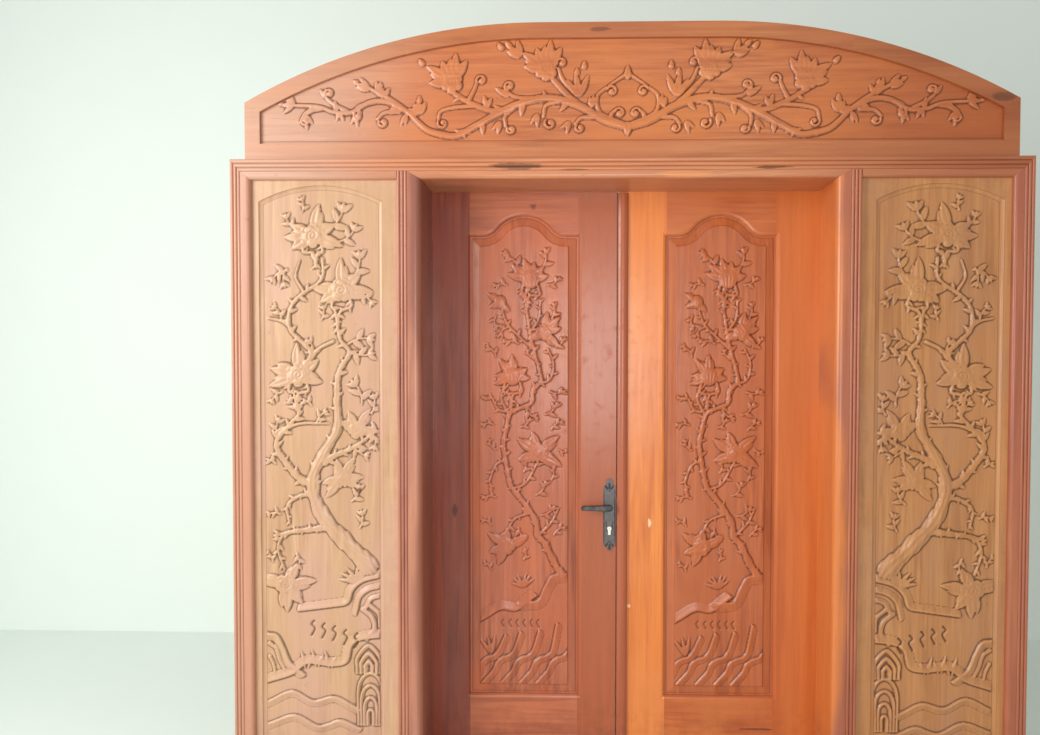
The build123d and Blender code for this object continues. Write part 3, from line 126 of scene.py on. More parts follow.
def smooth(route, gap=3.0):
    """Points every few millimetres along a soft curve through a route."""
    p = np.array(route, float)
    ends = np.vstack([2 * p[0] - p[1], p, 2 * p[-1] - p[-2]])
    runs = []
    for a, b, c, d in zip(ends, ends[1:], ends[2:], ends[3:]):
        t = np.linspace(0, 1, max(2, int(np.linalg.norm(c - b) / gap)), endpoint=False)[:, None]
        runs.append(0.5 * (2 * b + (c - a) * t + (2 * a - 5 * b + 4 * c - d) * t**2
                           + (3 * b - a - 3 * c + d) * t**3))
    return np.vstack(runs + [p[-1:]])


def run_along(points):
    """How far along a line each of its points lies."""
    return np.concatenate([[0], np.cumsum(np.linalg.norm(np.diff(points, axis=0), axis=1))])


def step(u, v, heading, distance):
    """The place at a distance from another, at a heading."""
    lean = math.radians(heading)
    return u + math.cos(lean) * distance, v + math.sin(lean) * distance


def turned(du, dv, heading):
    """How far places lie along a heading, and across it."""
    c, s = math.cos(math.radians(heading)), math.sin(math.radians(heading))
    return du * c + dv * s, dv * c - du * s


def follow(relief, points, reach):
    """How far the wood near a line lies off it, on which side and how far along, and its length."""
    low, high = points.min(0) - reach, points.max(0) + reach
    patch, u, v = relief.near(low[0], high[0], low[1], high[1])
    off = np.full((v.shape[0], u.shape[1]), 1e6)
    side = np.zeros_like(off)
    along = np.zeros_like(off)
    ahead = np.gradient(points, axis=0)
    ahead /= np.maximum(np.linalg.norm(ahead, axis=1, keepdims=True), 1e-9)
    run = run_along(points)
    for (pu, pv), (au, av), distance in zip(points, ahead, run):
        i0, i1 = np.searchsorted(u[0], (pu - reach, pu + reach))
        j0, j1 = np.searchsorted(v[:, 0], (pv - reach, pv + reach))
        here = (slice(j0, j1), slice(i0, i1))
        du, dv = u[:, i0:i1] - pu, v[j0:j1] - pv
        far = np.hypot(du, dv)
        nearer = far < off[here]
        off[here] = np.where(nearer, far, off[here])
        side[here] = np.where(nearer, du * -av + dv * au, side[here])
        along[here] = np.where(nearer, distance + du * au + dv * av, along[here])
    return patch, off, side, along, run[-1]


def stem(relief, route, start, end, height, ridges=0, knots=0.0):
    """A round branch or tendril, thinning from one half width to the other."""
    points = smooth(route)
    patch, off, side, along, length = follow(relief, points, max(start, end) * 1.35 + 3)
    share = np.clip(along / length, 0, 1)
    half = start + (end - start) * share
    if knots:
        swell = 0.10 * np.sin(along / knots * full_turn)
        half = half * (1 + swell + 0.06 * np.sin(along / knots * 15.1 + side / 3))
    q = off / half
    crest = height * (0.62 + 0.38 * half / max(start, end))
    form = crest * np.sqrt(np.clip(1 - np.clip(q, 0, 1) ** 2.4, 0, 1))
    if ridges:
        wave = np.cos(np.clip(side / half, -1, 1) * np.pi * ridges + 0.7 * np.sin(along / 23.0))
        form = form - (0.5 + 0.5 * wave) ** 2 * min(1.9, height * 0.2) * (q < 0.85)
    relief.raise_to(patch, np.where(q < 1, form, 0))


def leaf(relief, u, v, heading, length, width, height, bend=0.0):
    """A pointed leaf: a sunk midrib, fine side veins, a raised edge and a tip that lies lower."""
    patch, du, dv = relief.around(u, v, length * (1 + abs(bend)) + width)
    along, across = turned(du, dv, heading)
    along = along / length
    across = across - bend * length * along**2
    t = np.clip(along, 0, 1)
    half = width / 2 * 2.62 * t**0.55 * (1 - t) ** 0.85
    q = np.abs(across) / np.maximum(half, 0.3)
    crest = height * (0.66 + 0.34 * np.sin(np.pi * t**0.8))
    form = crest * (0.58 + 0.42 * np.sin(np.pi * (0.1 + 0.76 * np.clip(q, 0, 1))))
    vein = 0.5 + 0.5 * np.cos(full_turn * (t * length - 0.9 * np.abs(across)) / 9.0)
    form = form - vein**4 * min(0.9, height * 0.11) * (q > 0.12)
    relief.raise_to(patch, np.where((q < 1) & (along > 0) & (along < 1), form, 0))


def petals(relief, u, v, radius, height, turn, count, low, high, notch=0.2, sharp=0.6):
    """One ring of petals that rise towards their rims."""
    patch, du, dv = relief.around(u, v, radius)
    r, a = np.hypot(du, dv), np.arctan2(dv, du)
    wave = np.abs(np.cos(count * (a - math.radians(turn)) / 2))
    rim = radius * (1 - notch + notch * wave**sharp)
    q = r / rim
    fold = 1 - 0.2 * (1 - wave) ** 3
    form = height * (low + (high - low) * np.clip(q, 0, 1) ** 1.7) * fold
    form = form * np.where(q > 0.9, 1 - 0.16 * ((q - 0.9) / 0.1) ** 2, 1)
    relief.stand(patch, q < 1, form)


def heart(relief, u, v, radius, height, turn):
    """A flower's rolled heart."""
    patch, du, dv = relief.around(u, v, radius)
    r, a = np.hypot(du, dv), np.arctan2(dv, du)
    coil = (r / radius * 1.7 - (a - math.radians(turn)) / full_turn) % 1.0
    form = height * (0.6 + 0.4 * coil**1.3)
    relief.stand(patch, r < radius, form)


def crossed_heart(relief, u, v, radius, height):
    """A round heart cut with crossing lines, as on a daisy."""
    patch, uu, vv = relief.near(u - radius, u + radius, v - radius, v + radius)
    r = np.hypot(uu - u, vv - v) / radius
    dome = height * (0.72 + 0.28 * np.sqrt(np.clip(1 - r**2, 0, 1)))
    lines = np.maximum(np.cos((uu + vv) / 3.4), np.cos((uu - vv) / 3.4))
    relief.stand(patch, r < 1, dome - np.clip(lines - 0.55, 0, 1) * 1.8)


def rose(relief, u, v, radius, height, turn, wings, petal_count=6):
    """A rose: three rings of petals, a rolled heart, and pairs of pointed leaves for its wings."""
    spread_leaves(relief, u, v, radius, height * 0.66, wings)
    petals(relief, u, v, radius, height, turn, petal_count, 0.3, 0.74)
    petals(relief, u, v, radius * 0.78, height, turn + 28, petal_count - 1, 0.34, 0.88)
    petals(relief, u, v, radius * 0.6, height, turn + 5, petal_count - 2, 0.4, 0.98)
    heart(relief, u, v, radius * 0.44, height, turn)


def daisy(relief, u, v, radius, height, turn, wings, count=13):
    """A flower with many narrow petals round a cross-cut heart."""
    spread_leaves(relief, u, v, radius, height * 0.64, wings)
    petals(relief, u, v, radius, height, turn, count, 0.5, 0.74, 0.34, 0.5)
    petals(relief, u, v, radius * 0.7, height, turn + 180 / count, count, 0.6, 0.84, 0.3, 0.5)
    crossed_heart(relief, u, v, radius * 0.44, height)


def thistle(relief, u, v, radius, height, wings):
    """A round flower head cut with lines that run down to its stalk, between pointed leaves."""
    spread_leaves(relief, u, v, radius, height * 0.64, wings)
    patch, du, dv = relief.around(u, v, radius)
    across, up = du / radius, dv / radius
    q = np.hypot(across, up)
    ball = height * (0.55 + 0.45 * np.sqrt(np.clip(1 - q**2, 0, 1)))
    lines = np.cos(22.0 * across / (1.35 + 0.5 * up)) * (up < 0.35)
    lines = lines + np.cos(24.0 * q) * (up >= 0.35)
    relief.stand(patch, q < 1, ball - np.clip(lines, 0, 1) * height * 0.24)


def spread_leaves(relief, u, v, radius, height, wings):
    """Pairs of pointed leaves behind a flower, long and short by turns."""
    start = radius * 0.5
    for i, heading in enumerate(wings):
        size = radius * (2.15, 1.6, 1.9, 1.5)[i % 4]
        hand = 1 if i % 2 else -1
        for turn, share, sway, depth in ((hand * 16, 0.72, 0.0, 0.74), (0, 1.0, hand * 0.12, 1.0)):
            foot = step(u, v, heading + turn, start)
            leaf(relief, *foot, heading + turn, size * share, radius * 0.78, height * depth, sway)


def bud(relief, u, v, heading, length, width, height):
    """A closed bud: an egg shape, split by two grooves."""
    patch, du, dv = relief.around(u, v, length)
    along, across = turned(du, dv, heading)
    along, across = along / (length / 2), across / (width / 2)
    q = np.sqrt(along**2 + (across * (1 + 0.35 * along)) ** 2)
    form = height * np.sqrt(np.clip(1 - q**2.5, 0, 1))
    seam = np.exp(-((np.abs(across) - 0.34) / 0.13) ** 2) * (along > -0.5)
    relief.raise_to(patch, np.where(q < 1, np.maximum(form - seam * 1.4, 0.2), 0))


def curl(relief, u, v, radius, heading, hand, half, height, turns=1.1):
    """A stem's end rolled up to an eye. It starts radius away from the eye at a heading."""
    steps = np.linspace(0, 1, 22)
    angle = np.radians(heading) + hand * steps * turns * full_turn
    reach = radius * (1 - steps) ** 0.8 + half * 0.6
    route = np.stack([u + reach * np.cos(angle), v + reach * np.sin(angle)], axis=1)
    stem(relief, route, half, half * 0.8, height)
    bud(relief, u, v, 0, half * 3.2, half * 3.2, height * 1.15)


def shoots(relief, route, every, length, height, seed):
    """Short pointed shoots that leave a branch on both sides by turns."""
    points = smooth(route)
    rng = np.random.default_rng(seed)
    run = run_along(points)
    for i, distance in enumerate(np.arange(every * 0.5, run[-1] - every * 0.2, every)):
        k = min(int(np.searchsorted(run, distance)), len(points) - 2)
        ahead = math.degrees(math.atan2(*(points[k + 1] - points[k])[::-1]))
        side = 1 if i % 2 else -1
        heading = ahead + side * rng.uniform(34, 62)
        size = length * rng.uniform(0.75, 1.3)
        leaf(relief, *points[k], heading, size, size * 0.4, height, 0.16 * side)


def spray(relief, u, v, heading, hand, length, height, leaves=4):
    """A twig that bends to one side, with leaves along it and a bud at its end."""
    steps = np.linspace(0, 1, 5)
    angle = np.radians(heading) + hand * 0.8 * steps
    across, up = (length * np.cumsum(part) / 5 for part in (np.cos(angle), np.sin(angle)))
    route = np.vstack([[u, v], np.stack([u + across, v + up], axis=1)])
    for i in range(leaves):
        share = (i + 0.8) / leaves
        k = min(round(share * 5), 4)
        side = 1 if i % 2 else -1
        lean = math.degrees(angle[k]) + side * (52 - 22 * share)
        size = length * (0.62 - 0.2 * share)
        leaf(relief, *route[k], lean, size, size * 0.44, height * 0.86, 0.14 * side)
    stem(relief, route, 4.6, 3.2, height * 0.85)
    bud(relief, *route[-1], math.degrees(angle[-1]), length * 0.3, length * 0.2, height * 1.1)


def terrace(relief, route, reach, height, side=1, hatch=7.0):
    """A rock's rounded lip that falls away on one side, with tool lines across it."""
    points = smooth(route)
    patch, off, across, along, _ = follow(relief, points, reach + 6)
    depth = across * side
    lip = np.clip(1 - np.abs(depth) / 5.0, 0, 1) ** 0.5 * (depth < 0)
    fall = np.clip(1 - depth / reach, 0, 1) ** 1.3 * (depth >= 0)
    lines = np.clip(np.cos(full_turn * (along + depth * 0.5) / hatch) - 0.5, 0, 1) * 1.2
    form = height * np.maximum(lip, fall) - lines * (depth > 2) * fall
    relief.raise_to(patch, np.where(off < reach + 5, np.clip(form, 0, None), 0))


def rock_arches(relief, u, v, width, tall, count, height):
    """Arched bands of rock, one inside the other, each standing on the same foot."""
    for i in range(count):
        half = width / 2 * (1 - i / count)
        head = v + tall * (1 - i / count)
        spring = half * 0.96
        route = [(u - half, v), (u - spring, head - half), (u, head), (u + spring, head - half),
                 (u + half, v)]
        terrace(relief, route, width / count * 0.46, height, -1, 9.0)


def slit(relief, route, half, depth):
    """A short deep cut."""
    points = smooth(route, 1.5)
    patch, off, _, _, _ = follow(relief, points, half + 2)
    relief.sink(patch, depth * np.clip(1 - (off / half) ** 2, 0, 1))


def sprig(relief, u, v, headings, length, width, height, tips):
    """Leaves that spring from one point, the first of them tipped with a bud."""
    for i, heading in enumerate(headings):
        share, bend = (0.86, 0.1) if i % 2 else (1, -0.08)
        leaf(relief, u, v, heading, length * share, width, height, bend)
    if tips:
        tip = step(u, v, headings[0], length)
        bud(relief, *tip, headings[0], width * 1.3, width * 0.8, height * 1.05)


def fork(relief, u, v, below, height):
    """Two notched stalks that carry a flower and meet in a V on the branch below it."""
    for side in (-1, 1):
        middle = (below[0] + side * 8, (v + below[1]) / 2 - 8)
        route = [(u + side * 30, v - 26), (u + side * 36, v - 60), middle, below]
        shoots(relief, route, 26, 24, height, round(abs(u) + v) + side)
        stem(relief, route, 6.5, 6, height)


def finish_ground(relief, waves, seed):
    """Set in every form with a fine line, as a carver does, and leave tool waves on the ground."""
    stands = (relief.height > 0.6).astype(float)
    line = blur(stands, round(set_in_reach / relief.pitch)) * (1 - stands)
    relief.soften(edge_softening)
    relief.height -= set_in_depth * line
    rng = np.random.default_rng(seed)
    noise = blur(rng.standard_normal(relief.height.shape), round(tool_wave_reach / relief.pitch))
    relief.height += noise / np.abs(noise).max() * waves


# What is carved on each board
def side_relief():
    """The flowering tree on a side board, from the rocks at its foot to its top flower."""
    board = Relief(-240, 240, 130, 2250)
    tall, mid, low = 12.0, 9.0, 7.0
    trunk = [(178, 812), (80, 912), (8, 994), (-32, 1082), (-30, 1168), (12, 1250), (58, 1336),
             (56, 1440)]
    upper = [(56, 1430), (64, 1540), (104, 1616), (74, 1660), (62, 1700)]
    left_branch = [(-28, 1128), (-80, 1140), (-156, 1230), (-172, 1284), (-132, 1336), (-78, 1396)]
    top_branch = [(-64, 1570), (-40, 1620), (-112, 1696), (-122, 1764), (-88, 1822), (0, 1890),
                  (6, 1966)]
    right_branch = [(8, 1204), (40, 1228), (124, 1266), (204, 1324)]
    low_branch = [(34, 962), (-20, 956), (-104, 946), (-184, 928)]
    loop = [(-40, 1084), (-90, 1078), (-134, 1040), (-126, 976)]
    drop = [(-150, 934), (-170, 880), (-146, 800)]
    across = [(-140, 1330), (-80, 1352), (26, 1352)]
    link = [(44, 1660), (-10, 1632), (-34, 1596)]
    for seed, (route, every, length) in enumerate((
            (trunk[3:], 62, 30), (upper, 42, 34), (left_branch, 32, 34), (top_branch, 36, 30),
            (right_branch, 30, 34), (low_branch, 30, 24), (loop, 26, 22), (drop, 26, 28)), 1):
        shoots(board, route, every, length, low, seed)
    stem(board, [(-106, 1700), (-150, 1734), (-200, 1746)], 6, 4, low)
    stem(board, [(-70, 1850), (-96, 1900), (-80, 1960)], 6, 4, low)
    stem(board, drop, 6, 5, low, 0, 30)
    stem(board, loop, 9, 5, low, 0, 30)
    stem(board, across, 7, 4, low)
    stem(board, link, 7, 6, low)
    fork(board, -30, 2052, (-20, 1936), low)
    fork(board, 76, 1850, (62, 1700), low)
    fork(board, -88, 1534, (-96, 1404), low)
    stem(board, right_branch, 13, 5, mid, 1, 34)
    stem(board, low_branch, 15, 6, mid, 2, 40)
    stem(board, left_branch, 17, 6, mid, 2, 40)
    stem(board, top_branch, 10, 6, mid, 1, 40)
    stem(board, upper, 14, 7, mid, 2, 44)
    stem(board, trunk, 34, 14, tall, 3, 120)
    rose(board, -30, 2052, 46, tall, 90, (84, 22, 188, 150, -14, 206))
    rose(board, 76, 1850, 46, tall, 60, (96, 36, 182, 204, 2, -20))
    rose(board, -88, 1534, 46, tall, 90, (98, 32, 172, 148, 206, -22))
    rose(board, 132, 1330, 36, mid, 40, (62, 112, 0, 150), 5)
    daisy(board, 72, 1146, 36, mid, 20, (62, 100, 8, 330, 236, 190), 9)
    rose(board, -138, 742, 44, tall, 70, (14, 58, 276, 252, 172, 306))
    for u, v, heading, hand, length in (
            (-96, 2080, 150, -1, 62), (30, 2076, 34, 1, 104), (70, 2030, 20, 1, 84),
            (-126, 1924, 190, 1, 74), (-130, 1930, 240, 1, 66), (120, 1900, 52, 1, 92),
            (140, 1830, -6, -1, 64), (-150, 1740, 100, 1, 60), (102, 1650, 34, -1, 92),
            (110, 1624, -30, 1, 84), (-30, 1600, 84, 1, 66), (-150, 1470, 200, 1, 58),
            (150, 1424, 88, 1, 92), (186, 1390, 60, 1, 70), (-164, 1300, 112, -1, 70),
            (-90, 1386, 100, 1, 64), (-20, 1352, 74, -1, 60), (120, 1270, 300, 1, 66),
            (190, 1316, 300, -1, 60), (-176, 1200, 140, 1, 56), (110, 1060, 40, 1, 66),
            (140, 960, 60, 1, 62), (-160, 1010, 160, 1, 48), (-100, 860, 300, -1, 54),
            (-40, 1420, 130, 1, 56), (0, 1740, 60, 1, 50), (-190, 830, 100, 1, 44),
            (-70, 2140, 70, 1, 52)):
        spray(board, u, v, heading, hand, length, low)
    for heading in (160, 140, 118, 100, 82, 64):
        leaf(board, 132, 752, heading, 74, 15, low, 0.2 if heading > 100 else -0.2)
    terrace(board, [(214, 776), (150, 758), (112, 724), (92, 676), (40, 664), (-64, 650)],
            30, mid, -1)
    terrace(board, [(214, 736), (172, 724), (140, 696), (128, 652)], 22, low, -1)
    terrace(board, [(214, 700), (184, 690), (168, 664)], 16, low, -1)
    terrace(board, [(214, 548), (150, 540), (108, 516), (88, 452), (30, 438), (-60, 446),
                    (-120, 404), (-206, 376)], 34, mid, -1)
    stem(board, [(150, 652), (184, 622), (194, 578), (164, 540)], 9, 9, low, 1)
    stem(board, [(176, 668), (212, 634), (216, 588)], 8, 8, low, 1)
    terrace(board, [(-214, 556), (-176, 548), (-150, 500), (-128, 448), (-96, 420)], 30, mid, -1)
    stem(board, [(-206, 520), (-182, 500), (-166, 452), (-150, 420)], 8, 6, low, 1)
    stem(board, [(-206, 470), (-192, 440), (-186, 410)], 7, 5, low, 1)
    for u, v in ((-30, 430), (20, 426), (-70, 424)):
        leaf(board, u, v, 96, 74, 12, low, 0.15)
        leaf(board, u + 10, v, 74, 52, 10, low, -0.1)
    rock_arches(board, 172, 424, 92, 92, 3, mid)
    rock_arches(board, 178, 224, 92, 186, 4, mid)
    terrace(board, [(-206, 300), (-120, 336), (-40, 300), (40, 316), (112, 282)], 26, low, -1)
    terrace(board, [(-206, 214), (-110, 244), (-20, 204), (60, 226), (116, 206)], 26, low, -1)
    for u, v in ((-36, 606), (4, 596), (44, 586), (86, 572), (128, 560)):
        slit(board, [(u, v), (u - 10, v - 14), (u + 2, v - 30), (u - 10, v - 56)], 5.0, 6.5)
    return board


def leaf_relief():
    """The flowering tree on a leaf's raised panel."""
    board = Relief(-190, 190, 280, 2150)
    tall, mid, low = 9.0, 7.0, 5.0
    trunk = [(-62, 1140), (-80, 1254), (-70, 1318), (-50, 1388), (28, 1424), (36, 1474), (68, 1512),
             (60, 1566)]
    foot = [(156, 740), (130, 776), (112, 812), (84, 868), (56, 900), (48, 956), (4, 1026),
            (-50, 1096), (-62, 1152)]
    upper = [(62, 1556), (40, 1636), (26, 1700), (8, 1836), (20, 1900)]
    left_loop = [(36, 1640), (-30, 1700), (-66, 1740), (-92, 1812)]
    right_loop = [(52, 1500), (104, 1520), (118, 1580), (96, 1640)]
    twigs = (left_loop, right_loop, [(-48, 1390), (-100, 1400), (-128, 1450)],
             [(-72, 1200), (-110, 1180), (-136, 1120)], [(-40, 1086), (10, 1110), (56, 1190)],
             [(30, 990), (-40, 960), (-76, 880)], [(22, 1700), (60, 1760), (66, 1830)],
             [(60, 900), (110, 950), (140, 1010)], [(-60, 1380), (-90, 1450), (-60, 1500)])
    for seed, route in enumerate((foot, trunk, upper) + twigs):
        shoots(board, route, 30, 26, low, 20 + seed)
    for route in twigs:
        stem(board, route, 6, 4, low)
    fork(board, 26, 1912, (14, 1800), low)
    fork(board, -44, 1530, (-50, 1400), low)
    stem(board, upper, 8, 5, low, 0, 30)
    stem(board, trunk, 10, 8, mid, 1, 44)
    stem(board, foot, 15, 10, mid, 2, 60)
    thistle(board, 26, 1912, 36, tall, (170, 8, 112, 72, 146, 40))
    thistle(board, -94, 1824, 24, mid, (150, 200, 320))
    rose(board, 80, 1706, 34, tall, 40, (48, 8, 84, 200, -40))
    thistle(board, -44, 1530, 34, tall, (132, 172, 206, 24, 96, 350))
    daisy(board, 56, 1228, 42, tall, 20, (44, 100, 150, 196, -24, 330))
    rose(board, -68, 856, 36, tall, 50, (150, 196, 250, 84, 30))
    for u, v, heading, hand, length in (
            (-20, 1956, 112, 1, 76), (72, 1956, 56, 1, 76), (-60, 1992, 140, -1, 40),
            (96, 1892, 8, 1, 54), (-66, 1890, 160, 1, 52), (112, 1760, 60, 1, 58),
            (-110, 1770, 250, 1, 54), (-60, 1726, 200, 1, 58), (126, 1648, 20, 1, 52),
            (-20, 1660, 150, 1, 60), (-110, 1610, 110, 1, 56), (104, 1470, -20, 1, 60),
            (40, 1600, 150, -1, 44), (-120, 1440, 150, 1, 46), (10, 1400, 300, 1, 58),
            (86, 1380, 20, 1, 66), (110, 1320, 60, -1, 56), (-10, 1330, 20, 1, 50),
            (-120, 1340, 160, 1, 52), (-110, 1240, 150, -1, 48), (0, 1150, 60, 1, 50),
            (-130, 1130, 250, 1, 50), (-110, 1050, 160, 1, 56), (50, 1060, 30, 1, 66),
            (110, 1120, 60, 1, 52), (70, 980, 10, 1, 64), (120, 900, 60, -1, 56),
            (-20, 930, 280, 1, 54), (-130, 940, 130, 1, 50), (0, 800, 60, 1, 46),
            (-130, 760, 110, 1, 44), (140, 1240, -30, 1, 44)):
        spray(board, u, v, heading, hand, length, low, 3)
    for heading in (150, 128, 108, 90, 72, 50):
        leaf(board, 0, 690, heading, 60, 12, low, 0.2 if heading > 100 else -0.2)
    for heading in (120, 96, 74):
        leaf(board, -130, 420, heading, 84, 14, low, 0.1)
    terrace(board, [(160, 744), (112, 736), (84, 690), (60, 640), (20, 632)], 40, mid, 1)
    terrace(board, [(20, 636), (-30, 600), (-90, 604), (-150, 570)], 36, mid, -1)
    for u, rise in ((-150, 34), (-88, 44), (-12, 50), (62, 78), (128, 44)):
        ridge = [(u - 60, 326), (u - 34, 356), (u - 20, 388), (u + 4, 408), (u + 32, 418),
                 (u + 50, 440), (u + 66, 440 + rise)]
        terrace(board, ridge, 26, mid, -1)
    for u in (-80, -50, -22, 6, 34, 60):
        slit(board, [(u, 560), (u - 8, 548), (u + 2, 530)], 3.6, 4.5)
    return board


def pediment_half_relief():
    """The right half of the pediment: scrolling stems that run from its middle to its end."""
    board = Relief(-1380, 1380, 2380, 2780)
    tall, mid, low = 10.0, 8.0, 6.0
    main = [(10, 2452), (84, 2474), (176, 2526), (284, 2556), (388, 2540), (480, 2500), (560, 2456),
            (634, 2420), (700, 2428)]
    outer = [(690, 2424), (748, 2446), (812, 2506), (880, 2556), (956, 2596)]
    end = [(826, 2516), (890, 2546), (956, 2544), (1024, 2508), (1090, 2510), (1150, 2530),
           (1256, 2536)]
    to_first = [(176, 2526), (224, 2570), (290, 2640)]
    to_second = [(388, 2540), (487, 2510), (580, 2540), (648, 2580)]
    after_second = [(560, 2530), (640, 2524), (690, 2510), (700, 2480)]
    hooks = (([(110, 2486), (168, 2484), (192, 2462)], 176, 2446, 13, 40, -1),
             ([(250, 2544), (300, 2530), (310, 2490)], 286, 2464, 17, 30, -1),
             ([(420, 2520), (452, 2490), (450, 2456)], 430, 2442, 13, 20, -1),
             ([(300, 2556), (410, 2560), (452, 2590)], 436, 2600, 15, -40, 1),
             ([(190, 2570), (236, 2620), (256, 2664)], 243, 2684, 14, -10, 1),
             ([(588, 2548), (566, 2590), (556, 2616)], 540, 2622, 15, 0, 1),
             ([(846, 2510), (900, 2506), (926, 2484)], 906, 2470, 14, 20, -1),
             ([(940, 2546), (996, 2530), (1010, 2510)], 1000, 2494, 12, 40, -1),
             ([(1040, 2512), (1092, 2540), (1122, 2566)], 1106, 2578, 13, -20, 1),
             ([(1130, 2524), (1190, 2510), (1210, 2484)], 1196, 2476, 12, 10, -1),
             ([(60, 2466), (60, 2496), (44, 2510)], 30, 2500, 15, 30, 1),
             ([(20, 2462), (100, 2500), (112, 2560), (80, 2592)], 58, 2580, 16, 30, 1))
    for seed, route in enumerate((main, outer, end, to_second)):
        shoots(board, route[2:], 84, 42, low, 40 + seed)
    for route, u, v, radius, heading, hand in hooks:
        curl(board, u, v, radius, heading, hand, 5.4, mid)
        stem(board, route, 9, 6, low, 2)
    stem(board, after_second, 8, 6, low, 2)
    curl(board, 684, 2466, 16, 20, -1, 4.6, mid)
    stem(board, to_first, 13, 9, low, 3)
    stem(board, to_second, 12, 9, low, 3)
    stem(board, end, 11, 6, mid, 3)
    stem(board, outer, 12, 7, mid, 3)
    stem(board, main, 15, 12, mid, 3)
    stem(board, [(4, 2642), (36, 2622), (70, 2600)], 7, 4, low)
    for u, v, headings, length, width in (
            (395, 2706, (46, 20, 84), 66, 24), (180, 2560, (86, 50, 118), 92, 24),
            (956, 2590, (30, 8, 56), 60, 20), (900, 2560, (74, 110, 42), 52, 18),
            (1240, 2536, (4, 34, -34), 50, 18), (1196, 2500, (-96, -60, -124), 46, 18),
            (331, 2500, (-84, -60), 54, 18), (469, 2472, (-74, -50), 50, 18),
            (1006, 2500, (-92, -66), 48, 16), (772, 2500, (92, 60, 124, 20), 54, 24),
            (440, 2560, (40, 70), 62, 20), (520, 2520, (80, 110), 52, 18),
            (1120, 2560, (60, 84), 44, 16), (620, 2440, (-160, -130), 44, 16),
            (212, 2470, (-70, -40), 50, 16), (130, 2520, (100, 70), 50, 18),
            (820, 2500, (-60, -90), 48, 16), (1070, 2514, (-110, -80), 46, 16)):
        sprig(board, u, v, headings, length, width, low, len(headings) > 2)
    rose(board, 300, 2660, 42, tall, 90, (40, 82, 130, 4, 104, 60))
    rose(board, 650, 2616, 42, tall, 90, (38, 82, 130, -6, 104, 60))
    for u, v, heading in ((469, 2746, 50), (763, 2690, 48), (160, 2676, 92)):
        bud(board, u, v, heading, 34, 20, mid)
    return board


def pediment_relief():
    """Both halves of the pediment's carving, and the small drop and leaf that join them."""
    board = pediment_half_relief()
    board.height = np.maximum(board.height, board.mirrored().height[:, :len(board.u)])
    leaf(board, 0, 2468, 270, 54, 28, 8)
    leaf(board, 0, 2620, 90, 56, 24, 8)
    return board


# Boards as meshes
class Outline:
    """The edge of a board, or the same edge set in all round. Its top may be shaped."""

    def __init__(self, centre, foot, corners, top):
        self.centre = centre
        self.foot = foot
        self.corners = corners
        self.top = top

    def columns(self, inset, pitch):
        """Where upright lines cut the top, counted in corners, about one pitch apart."""
        corners = self.corners(inset)
        count = round((corners[-1] - corners[0]) / pitch)
        return np.interp(np.linspace(corners[0], corners[-1], count + 1), corners,
                         range(len(corners)))

    def at(self, inset, columns):
        """The x of every column, the height of the top there, and the foot."""
        corners = self.corners(inset)
        x = np.interp(columns, range(len(corners)), corners)
        return x, self.top(inset, x), self.foot + inset

    def loop(self, inset, columns, rows, y):
        """The edge as points, once round from the left foot."""
        x, top, foot = self.at(inset, columns)
        left = foot + rows * (top[0] - foot)
        right = foot + rows * (top[-1] - foot)
        u = np.concatenate([x, np.full(len(rows) - 2, x[-1]), x[::-1],
                            np.full(len(rows) - 2, x[0])])
        v = np.concatenate([np.full(len(x), foot), right[1:-1], top[::-1], left[-2:0:-1]])
        return np.stack([u + self.centre, np.full(len(u), y), v], axis=1)


def rectangle(centre, half, foot, head):
    """A plain board's edge."""

    def top(inset, x):
        return np.full(len(x), head - inset)

    return Outline(centre, foot, lambda inset: [-half + inset, half - inset], top)


def arched(centre, half, foot, shoulder, apex):
    """A field with a segmental arch."""
    rise = apex - shoulder
    radius = (half**2 + rise**2) / (2 * rise)

    def top(inset, x):
        return apex - radius + np.sqrt((radius - inset) ** 2 - x**2)

    return Outline(centre, foot, lambda inset: [-half + inset, half - inset], top)


def ogee(centre, half, foot, shoulder, apex, flat, hollow_radius):
    """A panel with level shoulders that sweep up through a hollow into a round crown."""
    span, rise = half - flat, apex - shoulder
    turn = 2 * math.atan2(rise, span)

    def bend(inset):
        return span - (hollow_radius + inset) * math.sin(turn)

    def corners(inset):
        return [-half + inset, -span, -bend(inset), bend(inset), span, half - inset]

    def top(inset, x):
        a = np.abs(x)
        r = hollow_radius + inset
        crown = span / math.sin(turn) - hollow_radius - inset
        hollow = shoulder - inset + r - np.sqrt(np.clip(r**2 - (span - a) ** 2, 0, None))
        round_top = apex - inset - crown + np.sqrt(np.clip(crown**2 - a**2, 0, None))
        return np.where(a > span, shoulder - inset, np.where(a > bend(inset), hollow, round_top))

    return Outline(centre, foot, corners, top)


def segmental(half, crown_half, foot, apex, radius):
    """The pediment's edge: a level crown that curves down on each side to upright ends."""

    def top(inset, x):
        past = np.clip(np.abs(x) - crown_half, 0, None)
        return apex - radius + np.sqrt((radius - inset) ** 2 - past**2)

    def corners(inset):
        return [-half + inset, -crown_half, crown_half, half - inset]

    return Outline(0.0, foot, corners, top)


def new_piece(name, points, faces, finish, sharp=None):
    """A piece of the scene, from points in metres. Edges sharper than an angle stay sharp."""
    mesh = bpy.data.meshes.new(name)
    mesh.from_pydata(points, [], faces)
    mesh.validate()
    mesh.shade_smooth()
    if sharp:
        mesh.set_sharp_from_angle(angle=math.radians(sharp))
    mesh.materials.append(finish)
    piece = bpy.data.objects.new(name, mesh)
    bpy.context.scene.collection.objects.link(piece)
    return piece


